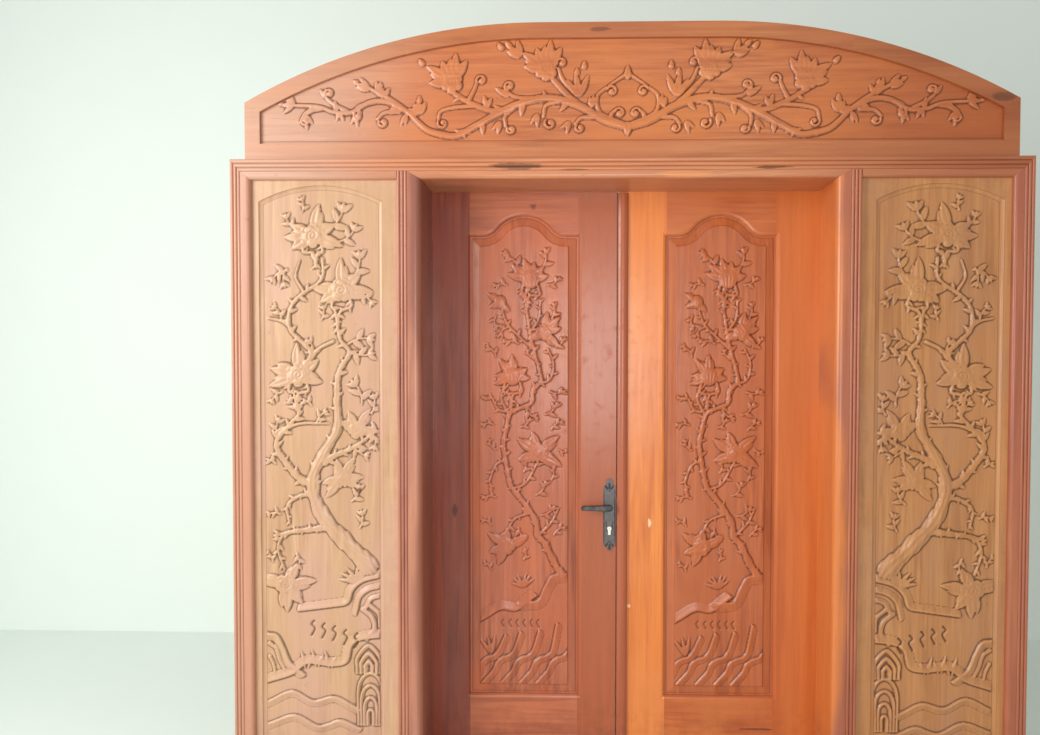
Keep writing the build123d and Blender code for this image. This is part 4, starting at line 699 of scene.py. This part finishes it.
def tube(start, levels, turns):
    """A closed tube's faces: rings of points above each other, and a flat face at each end."""
    top = start + levels * turns
    faces = [tuple(range(start, start + turns))[::-1], tuple(range(top, top + turns))]
    for low in range(start, top, turns):
        for k, after in zip(range(turns), [*range(1, turns), 0]):
            faces.append((low + k, low + after, low + turns + after, low + turns + k))
    return faces


def belongs(piece, body):
    """Tell which body carries a new piece."""
    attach(piece, body)


def give_cue(piece, name, values):
    """Store one number at every point of a piece, for its finish to use."""
    cue = piece.data.attributes.new(name, "FLOAT", "POINT")
    cue.data.foreach_set("value", values.astype(np.float32))


def carved_board(name, node, rings, back, relief, finish, pitch=fine_pitch):
    """A board as one closed mesh.

    Each ring is an outline, its inset and its y. The last one edges the carved field.
    """
    outline, inset, plane = rings[-1]
    columns = outline.columns(inset, pitch)
    x, top, foot = outline.at(inset, columns)
    rows = np.linspace(0, 1, round((top.max() - foot) / pitch) + 1)
    share = (x - x[0]) / (x[-1] - x[0])
    loops = []
    for edge, edge_inset, y in [(*rings[0][:2], back)] + rings[:-1]:
        spread = columns if edge is outline else share * (len(edge.corners(0)) - 1)
        loops.append(edge.loop(edge_inset, spread, rows, y))
    u = np.broadcast_to(x, (len(rows), len(x)))
    v = foot + rows[:, None] * (top - foot)
    edge_distance = np.minimum(np.minimum(u - x[0], x[-1] - u), np.minimum(v - foot, top - v))
    height = relief.sample(relief.height, u, v)
    height = height * np.clip(edge_distance / field_edge_fade, 0, 1) ** 0.5
    field = np.stack([u + outline.centre, plane - height, v], axis=2).reshape(-1, 3)
    n, m = len(x), len(rows)
    grid = np.arange(n * m).reshape(m, n)
    border = np.concatenate([grid[0], grid[1:-1, -1], grid[-1, ::-1], grid[-2:0:-1, 0]])
    count = len(border)
    points = np.vstack([field] + loops) / 1000
    quads = np.stack([grid[:-1, :-1], grid[:-1, 1:], grid[1:, 1:], grid[1:, :-1]], axis=2)
    faces = quads.reshape(-1, 4).tolist()
    starts = [n * m + count * i for i in range(len(loops))]
    edges = [np.arange(start, start + count) for start in starts] + [border]
    for a, b in zip(edges, edges[1:]):
        faces += np.stack([a, np.roll(a, -1), np.roll(b, -1), b], axis=1).tolist()
    faces.append(edges[0][::-1].tolist())
    piece = new_piece(name, points.tolist(), faces, finish, sharp=50)
    # Cues for the finish: how deep each place lies below the wood around it, which is painted as
    # shade, and how high it stands. The field's edge and one ring of the moulding get a set depth,
    # so that they are painted as dark lines of shade.
    hollow, rise = np.zeros(len(points)), np.zeros(len(points))
    hollow[:n * m] = relief.sample(relief.hollows(), u, v).ravel()
    hollow[border] = crease_shade
    if len(loops) > 3:
        hollow[edges[3]] = crease_shade
    rise[:n * m] = height.ravel()
    give_cue(piece, "hollow", hollow)
    give_cue(piece, "rise", rise)
    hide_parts(node)
    return piece


# Surfaces
class Value:
    """A number or colour that changes from place to place, for use in ordinary sums."""

    def __init__(self, paint, socket):
        self.paint = paint
        self.socket = socket

    def maths(self, operation, *terms):
        return self.paint.add("ShaderNodeMath", dict(enumerate(terms)), {"operation": operation})

    def __add__(self, other):
        return self.maths("ADD", self, other)

    def __sub__(self, other):
        return self.maths("SUBTRACT", self, other)

    def __rsub__(self, other):
        return self.maths("SUBTRACT", other, self)

    def __mul__(self, other):
        return self.maths("MULTIPLY", self, other)

    def __truediv__(self, other):
        return self.maths("DIVIDE", self, other)

    def __rtruediv__(self, other):
        return self.maths("DIVIDE", other, self)

    def __pow__(self, other):
        return self.maths("POWER", self, other)

    def __rpow__(self, other):
        return self.maths("POWER", other, self)

    __radd__ = __add__
    __rmul__ = __mul__

    def between(self, low, high):
        """Nought below low, one above high, and a soft step between them."""
        values = {"Value": self, "From Min": low, "From Max": high}
        return self.paint.add("ShaderNodeMapRange", values, {"interpolation_type": "SMOOTHSTEP"})


class Paint:
    """One material, built node by node."""

    def __init__(self, name):
        self.material = bpy.data.materials.new(name)
        self.material.use_nodes = True
        self.tree = self.material.node_tree
        self.surface = self.tree.nodes["Principled BSDF"]

    def add(self, kind, values=None, settings=None, output=0):
        """A node of a kind, with its settings and then its values and links."""
        node = self.tree.nodes.new(kind)
        for name, setting in (settings or {}).items():
            setattr(node, name, setting)
        for name, value in (values or {}).items():
            self.connect(node.inputs[name], value)
        return Value(self, node.outputs[output])

    def connect(self, socket, value):
        if isinstance(value, Value):
            self.tree.links.new(value.socket, socket)
        else:
            socket.default_value = value

    def set(self, **values):
        for name, value in values.items():
            self.connect(self.surface.inputs[name.replace("_", " ").title()], value)

    def vectors(self, operation, *terms, output=0):
        return self.add("ShaderNodeVectorMath", dict(enumerate(terms)), {"operation": operation},
                        output)

    def place(self):
        """Where a point is on the object, in metres."""
        return self.add("ShaderNodeTexCoord", output="Object")

    def stretched(self, place, across, along, axis):
        """A place squeezed along one axis, so that what is drawn there runs along the grain."""
        scale = tuple(along if i == axis else across for i in range(3))
        shift = self.add("ShaderNodeObjectInfo", output="Random") * grain_shift
        return self.vectors("MULTIPLY", self.vectors("ADD", place, shift), scale)

    def noise(self, place, scale=1.0, detail=2.0, roughness=0.5, distortion=0.0):
        values = {"Vector": place, "Scale": scale, "Detail": detail, "Roughness": roughness}
        return self.add("ShaderNodeTexNoise", values | {"Distortion": distortion})

    def mix(self, share, a, b):
        """Colour a where share is nought and colour b where it is one."""
        return self.add("ShaderNodeMix", {0: share, 6: a, 7: b}, {"data_type": "RGBA"}, 2)

    def axes(self, place):
        """The x, y and z of a place."""
        node = self.tree.nodes.new("ShaderNodeSeparateXYZ")
        self.connect(node.inputs[0], place)
        return [Value(self, output) for output in node.outputs]

    def bump(self, height, distance, strength):
        return self.add("ShaderNodeBump",
                        {"Height": height, "Distance": distance, "Strength": strength})

    def cue(self, name):
        """A number stored at every point of a carved board."""
        return self.add("ShaderNodeAttribute", settings={"attribute_name": name}, output="Fac")

    def edge(self):
        """Above a half on a mesh's ridges and below it in its hollows."""
        return self.add("ShaderNodeNewGeometry", output="Pointiness")


def shade(red, green, blue):
    """A colour as the eye reads it, 0 to 255, in the light's own scale."""
    parts = [c / 255 for c in (red, green, blue)]
    return (*(c / 12.92 if c <= 0.04045 else ((c + 0.055) / 1.055) ** 2.4 for c in parts), 1.0)


# The axis that the grain follows, and how far one piece's figure may be shifted against another's
UPRIGHT, LEVEL = 2, 0
grain_shift = 31.7


def darker(colour, share):
    return tuple(c * share for c in colour[:3]) + (1.0,)


def paler(colour, share=1.2):
    return tuple(min(1.0, c * share + 0.03) for c in colour[:3]) + (1.0,)


def timber(name, axis, colours, carved=False, roughness=0.3, across=(), marks=()):
    """Varnished hardwood: wide figure, fine streaks and pores along the grain, and soft clouds.

    The colours are pale, middle, deep and the tint of broad patches. Across tells between which
    two places, from the left to the right of the door or back, the colour turns to another: this is
    painted light and painted shade, for the light that falls on the door from the left. On a carved
    board the hollows are painted darker as painted shade, places that stand proud paler as painted
    highlight, and ridges paler as wear and painted highlight together.
    Each mark is a middle, how far it reaches each way, its colour and its strength.
    """
    pale, middle, deep, tint = (shade(*colour) for colour in colours)
    paint = Paint(name)
    place = paint.place()
    x, _, z = paint.axes(place)
    broad = paint.stretched(place, across=9.0, along=0.55, axis=axis)
    fine = paint.stretched(place, across=90.0, along=3.0, axis=axis)
    hair = paint.stretched(place, across=420.0, along=9.0, axis=axis)
    uneven = paint.stretched(place, across=5.2, along=2.2, axis=axis)
    sway = paint.noise(broad, detail=3.0, roughness=0.55)
    figure = paint.noise(broad, 2.6, detail=4.0, roughness=0.6, distortion=1.2)
    streaks = paint.noise(fine, detail=3.0, roughness=0.6)
    pores = paint.noise(hair, roughness=0.7)
    clouds = paint.noise(place, 1.7)
    patches = paint.noise(uneven, detail=3.0, roughness=0.6)
    wear = paint.noise(place, 23.0, detail=3.0, roughness=0.6)
    rubbed = paint.noise(place, 46.0, detail=4.0, roughness=0.65)
    tone = (figure * 0.55 + streaks * 0.3 + sway * 0.15).between(0.34, 0.66)
    colour = paint.mix(tone, deep, pale)
    colour = paint.mix(clouds.between(0.35, 0.65) * 0.6 + 0.15, colour, middle)
    colour = paint.mix(patches.between(0.42, 0.66) * 0.6, colour, tint)
    # Painted light and painted shade: the colour turns across the door, for the light from the
    # left.
    for start, end, other in across:
        drift = x + (clouds - 0.5) * 0.16
        wood = paint.mix(tone * 0.6 + 0.2, darker(shade(*other), 0.8), shade(*other))
        colour = paint.mix(drift.between(start, end) * 0.8, colour, wood)
    colour = paint.mix(pores.between(0.60, 0.76) * 0.3, colour, darker(deep, 0.5))
    if carved:
        hollow, rise = paint.cue("hollow"), paint.cue("rise")
        colour = paint.mix(rise.between(2.0, 6.5) * 0.14, colour, pale)
        # Painted highlight where a place stands above the wood around it.
        colour = paint.mix((0.0 - hollow).between(0.6, 2.4) * 0.3, colour, paler(pale))
        # Painted shade in the carving's hollows and in its set creases.
        colour = paint.mix(hollow.between(0.5, 2.4) * 0.85, colour, darker(deep, 0.3))
    colour = paint.mix(rubbed.between(0.66, 0.74) * 0.3, colour, darker(deep, 0.62))
    for spot, reach, stain, strength in marks:
        away = paint.vectors("DIVIDE", paint.vectors("SUBTRACT", place, spot), reach)
        far = paint.vectors("LENGTH", away, output=1)
        ragged = 1.0 - far + (streaks - 0.5) * 1.5 + (wear - 0.5) * 0.8
        colour = paint.mix(ragged.between(0.1, 0.4) * strength, colour, shade(*stain))
    if carved:
        edge = paint.edge()
        # Ridges paler: partly wear, partly painted highlight.
        colour = paint.mix(edge.between(0.53, 0.62) * wear.between(0.4, 0.6) * 0.35, colour, pale)
        # Hollows darker: painted shade.
        colour = paint.mix(0.4 - edge.between(0.38, 0.47) * 0.4, colour, darker(deep, 0.5))
    else:
        colour = paint.mix(sway.between(0.3, 0.7) * 0.3, colour, pale)
    dusty = (0.35 - z).between(0.0, 0.35) * wear.between(0.35, 0.7) * 0.3
    colour = paint.mix(dusty, colour, darker(deep, 0.6))
    rough = roughness + streaks * 0.12 + wear.between(0.5, 0.8) * 0.14 + dusty * 0.3
    relief = streaks * 0.35 + pores * 0.65
    paint.set(base_color=colour, roughness=rough,
              normal=paint.bump(relief, distance=0.0004, strength=0.6))
    paint.set(coat_weight=0.3 - wear.between(0.5, 0.8) * 0.15, coat_roughness=0.2)
    paint.surface.inputs["Coat IOR"].default_value = 1.45
    return paint.material


def metal(name, colour, worn, roughness, metallic=1.0):
    """Cast or drawn metal with rubbed high places and soft stains."""
    paint = Paint(name)
    place = paint.place()
    stains = paint.noise(place, 60.0, detail=4.0, roughness=0.6)
    rub = paint.noise(place, 220.0, detail=3.0, roughness=0.55)
    blend = paint.mix(stains.between(0.42, 0.68), colour, worn)
    edge = paint.edge()
    blend = paint.mix(edge.between(0.52, 0.6) * 0.6, blend, paler(worn, 1.4))
    blend = paint.mix(0.8 - edge.between(0.36, 0.48) * 0.8, blend, darker(colour, 0.25))
    paint.set(base_color=blend, metallic=metallic, roughness=roughness + rub * 0.2)
    paint.set(normal=paint.bump(rub, distance=0.0003, strength=0.5))
    return paint.material


def plain(name, colour, roughness):
    """A studio surface, clear from behind so that it hides nothing."""
    paint = Paint(name)
    speck = paint.noise(paint.place(), 3.0, detail=3.0)
    paint.set(base_color=paint.mix(speck.between(0.3, 0.7) * 0.3, colour, darker(colour, 0.97)))
    paint.set(roughness=roughness,
              alpha=1.0 - paint.add("ShaderNodeNewGeometry", output="Backfacing"))
    return paint.material


dark_stain, pale_chip = (70, 34, 24), (250, 214, 176)
knot, pale_streak = (84, 40, 28), (236, 150, 84)
leaf_sheen, panel_sheen = 0.26, 0.28

left_board_finish = timber(
    "left_board_timber", UPRIGHT,
    ((212, 172, 134), (200, 157, 120), (174, 127, 92), (200, 152, 134)), True,
    marks=[((-1.0, -0.106, 1.1), (0.012, 0.05, 0.012), knot, 0.7)])
right_board_finish = timber(
    "right_board_timber", UPRIGHT,
    ((210, 150, 94), (194, 131, 80), (158, 98, 54), (182, 128, 92)), True)
# The two leaves are one timber: the left leaf's finishes are a darker, redder copy as painted
# shade, and the right leaf's a brighter orange copy as painted light. Across each leaf the colour
# turns as well, paler towards the left lock stile and darker towards the right hinge stile: painted
# light and painted shade.
left_leaf_finish = timber(
    "left_leaf_timber", UPRIGHT,
    ((168, 78, 46), (148, 62, 42), (108, 42, 30), (150, 76, 60)), False, leaf_sheen,
    across=[(-0.6, -0.2, (190, 102, 60))],
    marks=[((-0.672, 0.085, 1.0), (0.016, 0.05, 0.03), dark_stain, 0.8)])
left_panel_finish = timber(
    "left_panel_timber", UPRIGHT,
    ((200, 116, 78), (180, 96, 66), (138, 66, 44), (196, 98, 54)), True, panel_sheen)
right_leaf_finish = timber(
    "right_leaf_timber", UPRIGHT,
    ((242, 146, 66), (226, 124, 52), (188, 90, 38), (226, 134, 74)), False, leaf_sheen,
    across=[(0.2, 0.62, (194, 90, 35))],
    marks=[((0.1, 0.085, 0.95), (0.008, 0.05, 0.022), pale_chip, 0.9),
           ((0.02, 0.085, 0.62), (0.01, 0.05, 0.01), pale_chip, 0.8)])
right_panel_finish = timber(
    "right_panel_timber", UPRIGHT,
    ((206, 114, 58), (186, 94, 46), (146, 64, 30), (190, 106, 66)), True, panel_sheen)
left_rail_finish = timber(
    "left_rail_timber", LEVEL,
    ((198, 112, 72), (176, 90, 58), (134, 60, 40), (190, 108, 76)), False, leaf_sheen,
    marks=[((-0.36, 0.085, 2.2), (0.02, 0.05, 0.014), knot, 0.8)])
right_rail_finish = timber(
    "right_rail_timber", LEVEL,
    ((216, 118, 52), (196, 98, 42), (156, 66, 28), (206, 118, 62)), False, leaf_sheen,
    marks=[((0.54, 0.085, 0.13), (0.1, 0.05, 0.006), dark_stain, 0.8)])
# The posts' colour turns paler and pinker towards the far left, darker on the left post's inner
# face and bright orange on the right post's inner face: painted light and painted shade, for the
# light from the left.
left_post_finish = timber(
    "left_post_timber", UPRIGHT,
    ((204, 140, 108), (178, 110, 86), (132, 72, 56), (186, 122, 106)),
    across=[(-1.1, -1.4, (206, 152, 124)), (-0.8, -0.765, (138, 76, 62))])
right_post_finish = timber(
    "right_post_timber", UPRIGHT,
    ((198, 120, 82), (172, 94, 66), (128, 60, 42), (168, 96, 76)),
    across=[(0.805, 0.765, (240, 138, 58))])
# The head, sills, pediment frame and pediment turn darker towards the right and paler towards the
# left: painted light and painted shade, for the light from the left.
head_finish = timber(
    "head_timber", LEVEL,
    ((222, 150, 106), (196, 122, 84), (152, 82, 52), (206, 124, 76)),
    across=[(0.4, 1.3, (158, 80, 46)), (-0.6, -1.3, (214, 172, 150))],
    marks=[((-0.395, -0.125, 2.298), (0.13, 0.06, 0.014), dark_stain, 0.75),
           ((-0.2, -0.125, 2.286), (0.06, 0.06, 0.006), dark_stain, 0.6),
           ((0.52, -0.125, 2.292), (0.09, 0.06, 0.007), dark_stain, 0.85),
           ((0.2, -0.125, 2.27), (0.12, 0.06, 0.012), pale_streak, 0.6)])
arch_finish = timber(
    "arch_timber", LEVEL,
    ((210, 136, 88), (186, 108, 70), (146, 76, 42), (196, 116, 66)),
    across=[(0.3, 1.3, (158, 80, 38)), (-0.6, -1.2, (206, 158, 132))],
    marks=[((-0.1, -0.105, 2.80), (0.05, 0.06, 0.01), dark_stain, 0.6),
           ((1.36, -0.105, 2.55), (0.06, 0.06, 0.02), dark_stain, 0.7)])
pediment_finish = timber(
    "pediment_timber", LEVEL,
    ((220, 138, 86), (200, 114, 68), (158, 80, 44), (214, 126, 66)), True,
    across=[(0.4, 1.3, (174, 86, 38)), (-0.6, -1.2, (210, 166, 142))])
brass_finish = metal("hinge_metal", shade(150, 122, 70), shade(96, 74, 40), 0.36)
bronze_finish = metal("bronze_metal", shade(58, 58, 62), shade(98, 94, 94), 0.34)
steel_finish = metal("steel_metal", shade(150, 148, 144), shade(108, 104, 98), 0.34)
cylinder_finish = metal("cylinder_metal", shade(232, 230, 222), shade(206, 202, 190), 0.22)

pieces_by_finish = (
    (left_post_finish, "left_jamb left_mullion left_jamb_reeds left_mullion_reeds"),
    (right_post_finish, "right_jamb right_mullion right_jamb_reeds right_mullion_reeds"),
    (head_finish, "head_rail head_reeds left_sill_rail right_sill_rail"),
    (arch_finish, "pediment_foot_rail pediment_left_stile pediment_right_stile"),
    (arch_finish, "pediment_arch_left pediment_arch_crown pediment_arch_right"),
    (left_leaf_finish, "left_hinge_stile left_lock_stile meeting_strip"),
    (left_rail_finish, "left_top_rail left_bottom_rail"),
    (right_leaf_finish, "right_hinge_stile right_meeting_stile"),
    (right_rail_finish, "right_top_rail right_bottom_rail"),
    (brass_finish, "left_frame_hinge_plates left_leaf_hinge_plates left_hinge_pins"),
    (brass_finish, "right_frame_hinge_plates right_leaf_hinge_plates right_hinge_pins"),
    (bronze_finish, "front_back_plate rear_back_plate front_lever rear_lever"),
    (cylinder_finish, "lock_cylinder key_plug"),
)
node_finish = {node: finish for finish, nodes in pieces_by_finish for node in nodes.split()}
for node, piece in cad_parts.items():
    piece.data.materials.clear()
    piece.data.materials.append(node_finish.get(node, steel_finish))

# The carved boards
board_front, board_back, field_plane = -106.0, -76.0, -99.0
side_centre, side_half, side_foot, side_shoulder, side_apex = 1139.0, 232.0, 140.0, 2177.0, 2236.0
side_low, side_high, side_inner, side_outer = 89.0, 2266.0, 839.0, 1406.0
cove_rings = ((0.0, 0.0), (0.3, 1.6), (3.0, 3.4), (6.5, 5.2), (11.0, 6.5))
cove_width = 16.0


def side_rings(sign):
    centre = sign * side_centre
    middle = sign * (side_inner + side_outer) / 2
    board = rectangle(middle, (side_outer - side_inner) / 2, side_low, side_high)
    field = arched(centre, side_half, side_foot, side_shoulder, side_apex)
    rings = [(board, 0.0, board_front)]
    rings += [(field, inset, board_front + sink) for inset, sink in cove_rings]
    return rings + [(field, cove_width, field_plane)]


side_carving = side_relief()
finish_ground(side_carving, 0.35, 11)
left_board = carved_board("left_carved_board", "left_side_board", side_rings(-1), board_back,
                          side_carving, left_board_finish)
right_board = carved_board("right_carved_board", "right_side_board", side_rings(1), board_back,
                           side_carving.mirrored(), right_board_finish)

left_panel_centre, right_panel_centre, panel_half = -398.0, 376.5, 228.0
panel_foot, panel_shoulder, panel_apex, panel_flat, panel_hollow = 248.0, 2096.0, 2176.0, 63.0, 60.0
panel_plane, panel_back, panel_bevel_top, panel_field = 98.0, 112.0, 90.0, 87.0
panel_profile = ((3.0, panel_plane), (20.0, panel_plane), (20.4, panel_plane - 0.9), (30.0, 95.2),
                 (41.0, 92.4), (51.6, panel_bevel_top), (52.0, panel_field + 0.8),
                 (52.8, panel_field))
leaf_carving = leaf_relief()
finish_ground(leaf_carving, 0.3, 12)


def panel_rings(centre):
    edge = ogee(centre, panel_half, panel_foot, panel_shoulder, panel_apex, panel_flat,
                panel_hollow)
    return [(edge, inset, y) for inset, y in panel_profile]


left_panel = carved_board("left_carved_panel", "left_leaf_panel", panel_rings(left_panel_centre),
                          panel_back, leaf_carving, left_panel_finish)
right_panel = carved_board("right_carved_panel", "right_leaf_panel",
                           panel_rings(right_panel_centre), panel_back, leaf_carving,
                           right_panel_finish)

pediment_half, crown_half, haunch_radius = 1421.0, 328.0, 2235.0
pediment_foot, pediment_apex = 2346.0, 2828.0
pediment_front, pediment_back, pediment_board_inset, pediment_field_inset = -93.0, -73.0, 45.0, 57.0
pediment_carving = pediment_relief()
finish_ground(pediment_carving, 0.3, 13)
pediment_edge = segmental(pediment_half, crown_half, pediment_foot, pediment_apex, haunch_radius)
pediment_rings = [(pediment_edge, pediment_board_inset, pediment_front)]
pediment_rings.append((pediment_edge, pediment_field_inset, pediment_front))
pediment = carved_board("pediment_carved_board", "pediment_board", pediment_rings, pediment_back,
                        pediment_carving, pediment_finish, fine_pitch * 1.08)

for piece, body, slot in ((left_board, "frame", "side_board_timber"),
                          (right_board, "frame", "side_board_timber"),
                          (pediment, "frame", "pediment_timber"),
                          (left_panel, "left_leaf", "leaf_timber"),
                          (right_panel, "right_leaf", "leaf_timber")):
    belongs(piece, body)


# Screws and cast work on the back plates
def raised_work(name, y, facing, domes, shares, foot, lift, sharp=None):
    """Domes that stand on a plate: each is its x, z, half width, half length, lean and rise.

    Shares are the rings from rim to crown. Lift works out how far a point stands out, from the
    dome's rise, its ring's share and how far the point lies off the dome's middle.
    """
    steps = 20
    points, faces = [], []
    out = Vector((0, facing, 0))
    for x, z, half_width, half_length, lean, rise in domes:
        start = len(points)
        up = Vector((math.sin(math.radians(lean)), 0, math.cos(math.radians(lean))))
        right = up.cross(out)
        for ring, share in enumerate(shares[:1] + shares):
            for angle in np.arange(steps) * 2 * math.pi / steps:
                a, b = share * half_width * math.cos(angle), share * half_length * math.sin(angle)
                level = -foot if ring == 0 else lift(rise, share, b / half_length)
                points.append((Vector((x, y, z)) + right * a + up * b + out * level) / 1000)
        faces += tube(start, len(shares), steps)
    belongs(new_piece(name, points, faces, bronze_finish, sharp), "left_leaf")


def screw_lift(rise, share, off_middle):
    """A low dome with a straight slot."""
    cut = slot_depth if abs(off_middle) < slot_reach else 0.0
    return rise * math.sqrt(1.05 - share**2) - cut


def cast_lift(rise, share, _):
    """A full round dome."""
    return rise * math.sqrt(1.0 - share**2)


lock_x, plate_front, plate_rear = -58.0, 81.0, 129.0
screw_radius, screw_rise, screw_foot, screw_top_z, screw_low_z = 3.2, 0.9, 0.6, 1078.0, 876.0
screw_shares, slot_depth, slot_reach = (1.0, 0.94, 0.72, 0.4), 0.55, 0.16
for name, y, facing, z, slot_lean in (
        ("front_back_plate_screw_top", plate_front, -1, screw_top_z, -62),
        ("rear_back_plate_screw_top", plate_rear, 1, screw_top_z, 25),
        ("front_back_plate_screw", plate_front, -1, screw_low_z, 86),
        ("rear_back_plate_screw", plate_rear, 1, screw_low_z, 237)):
    head = (lock_x, z, screw_radius, screw_radius, slot_lean, screw_rise)
    raised_work(name, y, facing, [head], screw_shares, screw_foot, screw_lift, sharp=40)

crown_leaf_z, tail_leaf_z, plate_middle_z, keyhole_z = 1099.0, 857.0, 978.0, 938.0
bead_out, keyhole_bead_out, leaf_out, leaf_sink, leaf_lean = 21.4, 12.5, 11.0, 7.0, 38
cast_shares, cast_foot = (1.0, 0.93, 0.75, 0.5, 0.22), 0.5
cast_domes = [(lock_x, crown_leaf_z, 4.6, 13.0, 0, 2.4), (lock_x, tail_leaf_z, 4.6, 12.0, 0, 2.4)]
for side in (-1, 1):
    cast_domes.append((lock_x + side * bead_out, plate_middle_z, 1.5, 112.0, 0, 1.6))
    cast_domes.append((lock_x + side * keyhole_bead_out, keyhole_z, 1.3, 24.0, 0, 1.4))
    leaf_x, lean = lock_x + side * leaf_out, side * leaf_lean
    cast_domes.append((leaf_x, crown_leaf_z - leaf_sink, 3.4, 11.0, lean, 2.0))
    cast_domes.append((leaf_x, tail_leaf_z + leaf_sink, 3.4, 10.0, -lean, 2.0))
for name, y, facing in (("front_plate_cast_work", plate_front, -1),
                        ("rear_plate_cast_work", plate_rear, 1)):
    raised_work(name, y, facing, cast_domes, cast_shares, cast_foot, cast_lift)


# The dark strip in the joint between the leaves, which stands for the shade there: painted shade
strip_edge, strip_reach, strip_middle, strip_half = -31.95, 3.5, 120.5, 2.5
strip_foot, strip_head = 12.0, 2260.0
# The strip's dark colour is painted shade.
joint_shade_finish = metal("joint_shade_strip_dark", shade(44, 32, 28), shade(64, 46, 38), 0.8, 0.0)


def joint_shade_strip():
    """A dark strip on the left leaf's edge, with a rounded and slightly uneven tip, that fills the
    joint with painted shade.
    """
    levels, turns = 240, 7
    chance = np.random.default_rng(21)
    points = []
    for z in np.linspace(strip_foot, strip_head, levels):
        length = strip_reach - 0.25 * chance.random()
        for angle in np.linspace(0, math.pi, turns):
            x = strip_edge + length * math.sin(angle) ** 0.4
            y = strip_middle - strip_half * math.cos(angle)
            points.append((x / 1000, y / 1000, z / 1000))
    strip = new_piece("leaf_joint_pile_strip", points, tube(0, levels - 1, turns), joint_shade_finish)
    belongs(strip, "left_leaf")


joint_shade_strip()


# Studio
def sheet(name, points):
    """A part of the studio, which doesn't belong to the door."""
    new_piece(name, points, [(0, 1, 2, 3)], studio_paint)


studio_paint = plain("studio_paint", shade(234, 244, 238), 0.7)
sheet("studio_floor", [(-12, -9, 0), (12, -9, 0), (12, 9, 0), (-12, 9, 0)])
sheet("studio_wall", [(-12, 1.6, -0.01), (12, 1.6, -0.01), (12, 1.6, 7), (-12, 1.6, 7)])


def soft_light(name, place, aim, size, power, colour):
    lamp = bpy.data.lights.new(name, "AREA")
    lamp.shape = "RECTANGLE"
    lamp.size, lamp.size_y = size
    lamp.energy = power
    lamp.color = colour
    light = bpy.data.objects.new(name, lamp)
    bpy.context.scene.collection.objects.link(light)
    light.location = place
    light.rotation_euler = (Vector(aim) - Vector(place)).to_track_quat("-Z", "Y").to_euler()


soft_light("left_light", (-3.6, -2.7, 2.5), (-0.1, 0.0, 1.3), (1.8, 2.4), 132, (1.0, 0.98, 0.95))
soft_light("front_light", (-0.1, -5.2, 1.75), (0.0, 0.0, 1.4), (1.2, 1.6), 60, (1.0, 0.98, 0.96))
world = bpy.data.worlds.new("studio_air")
world.use_nodes = True
air = world.node_tree.nodes["Background"].inputs
air["Color"].default_value = (1.0, 0.99, 0.96, 1.0)
air["Strength"].default_value = 0.5
bpy.context.scene.world = world

# Camera, at the photo's viewing angle
yaw, pitch, roll = math.radians(1.378), math.radians(-1.530), math.radians(0.123)
camera_place = Vector((-0.136, -2.997, 1.515))
lens_pixels, image_width, image_height, sensor_width = 780.0, 1040, 735, 36.0
aim_across, aim_down = 571.2, 401.3
turn_yaw = Matrix(((math.cos(yaw), math.sin(yaw), 0),
                   (-math.sin(yaw), math.cos(yaw), 0),
                   (0, 0, 1)))
turn_pitch = Matrix(((1, 0, 0),
                     (0, math.cos(pitch), math.sin(pitch)),
                     (0, -math.sin(pitch), math.cos(pitch))))
turn_roll = Matrix(((math.cos(roll), 0, math.sin(roll)),
                    (0, 1, 0),
                    (-math.sin(roll), 0, math.cos(roll))))
to_camera = turn_roll @ turn_pitch @ turn_yaw
right, forward, up = to_camera
camera_data = bpy.data.cameras.new("camera")
camera_data.sensor_width = sensor_width
camera_data.lens = lens_pixels * sensor_width / image_width
camera_data.shift_x = (image_width / 2 - aim_across) / image_width
camera_data.shift_y = (aim_down - image_height / 2) / image_width
camera = bpy.data.objects.new("camera", camera_data)
bpy.context.scene.collection.objects.link(camera)
turn = Matrix((right, up, -forward)).transposed().to_4x4()
camera.matrix_world = Matrix.Translation(camera_place) @ turn
bpy.context.scene.camera = camera
bpy.context.scene.view_settings.view_transform = "Standard"
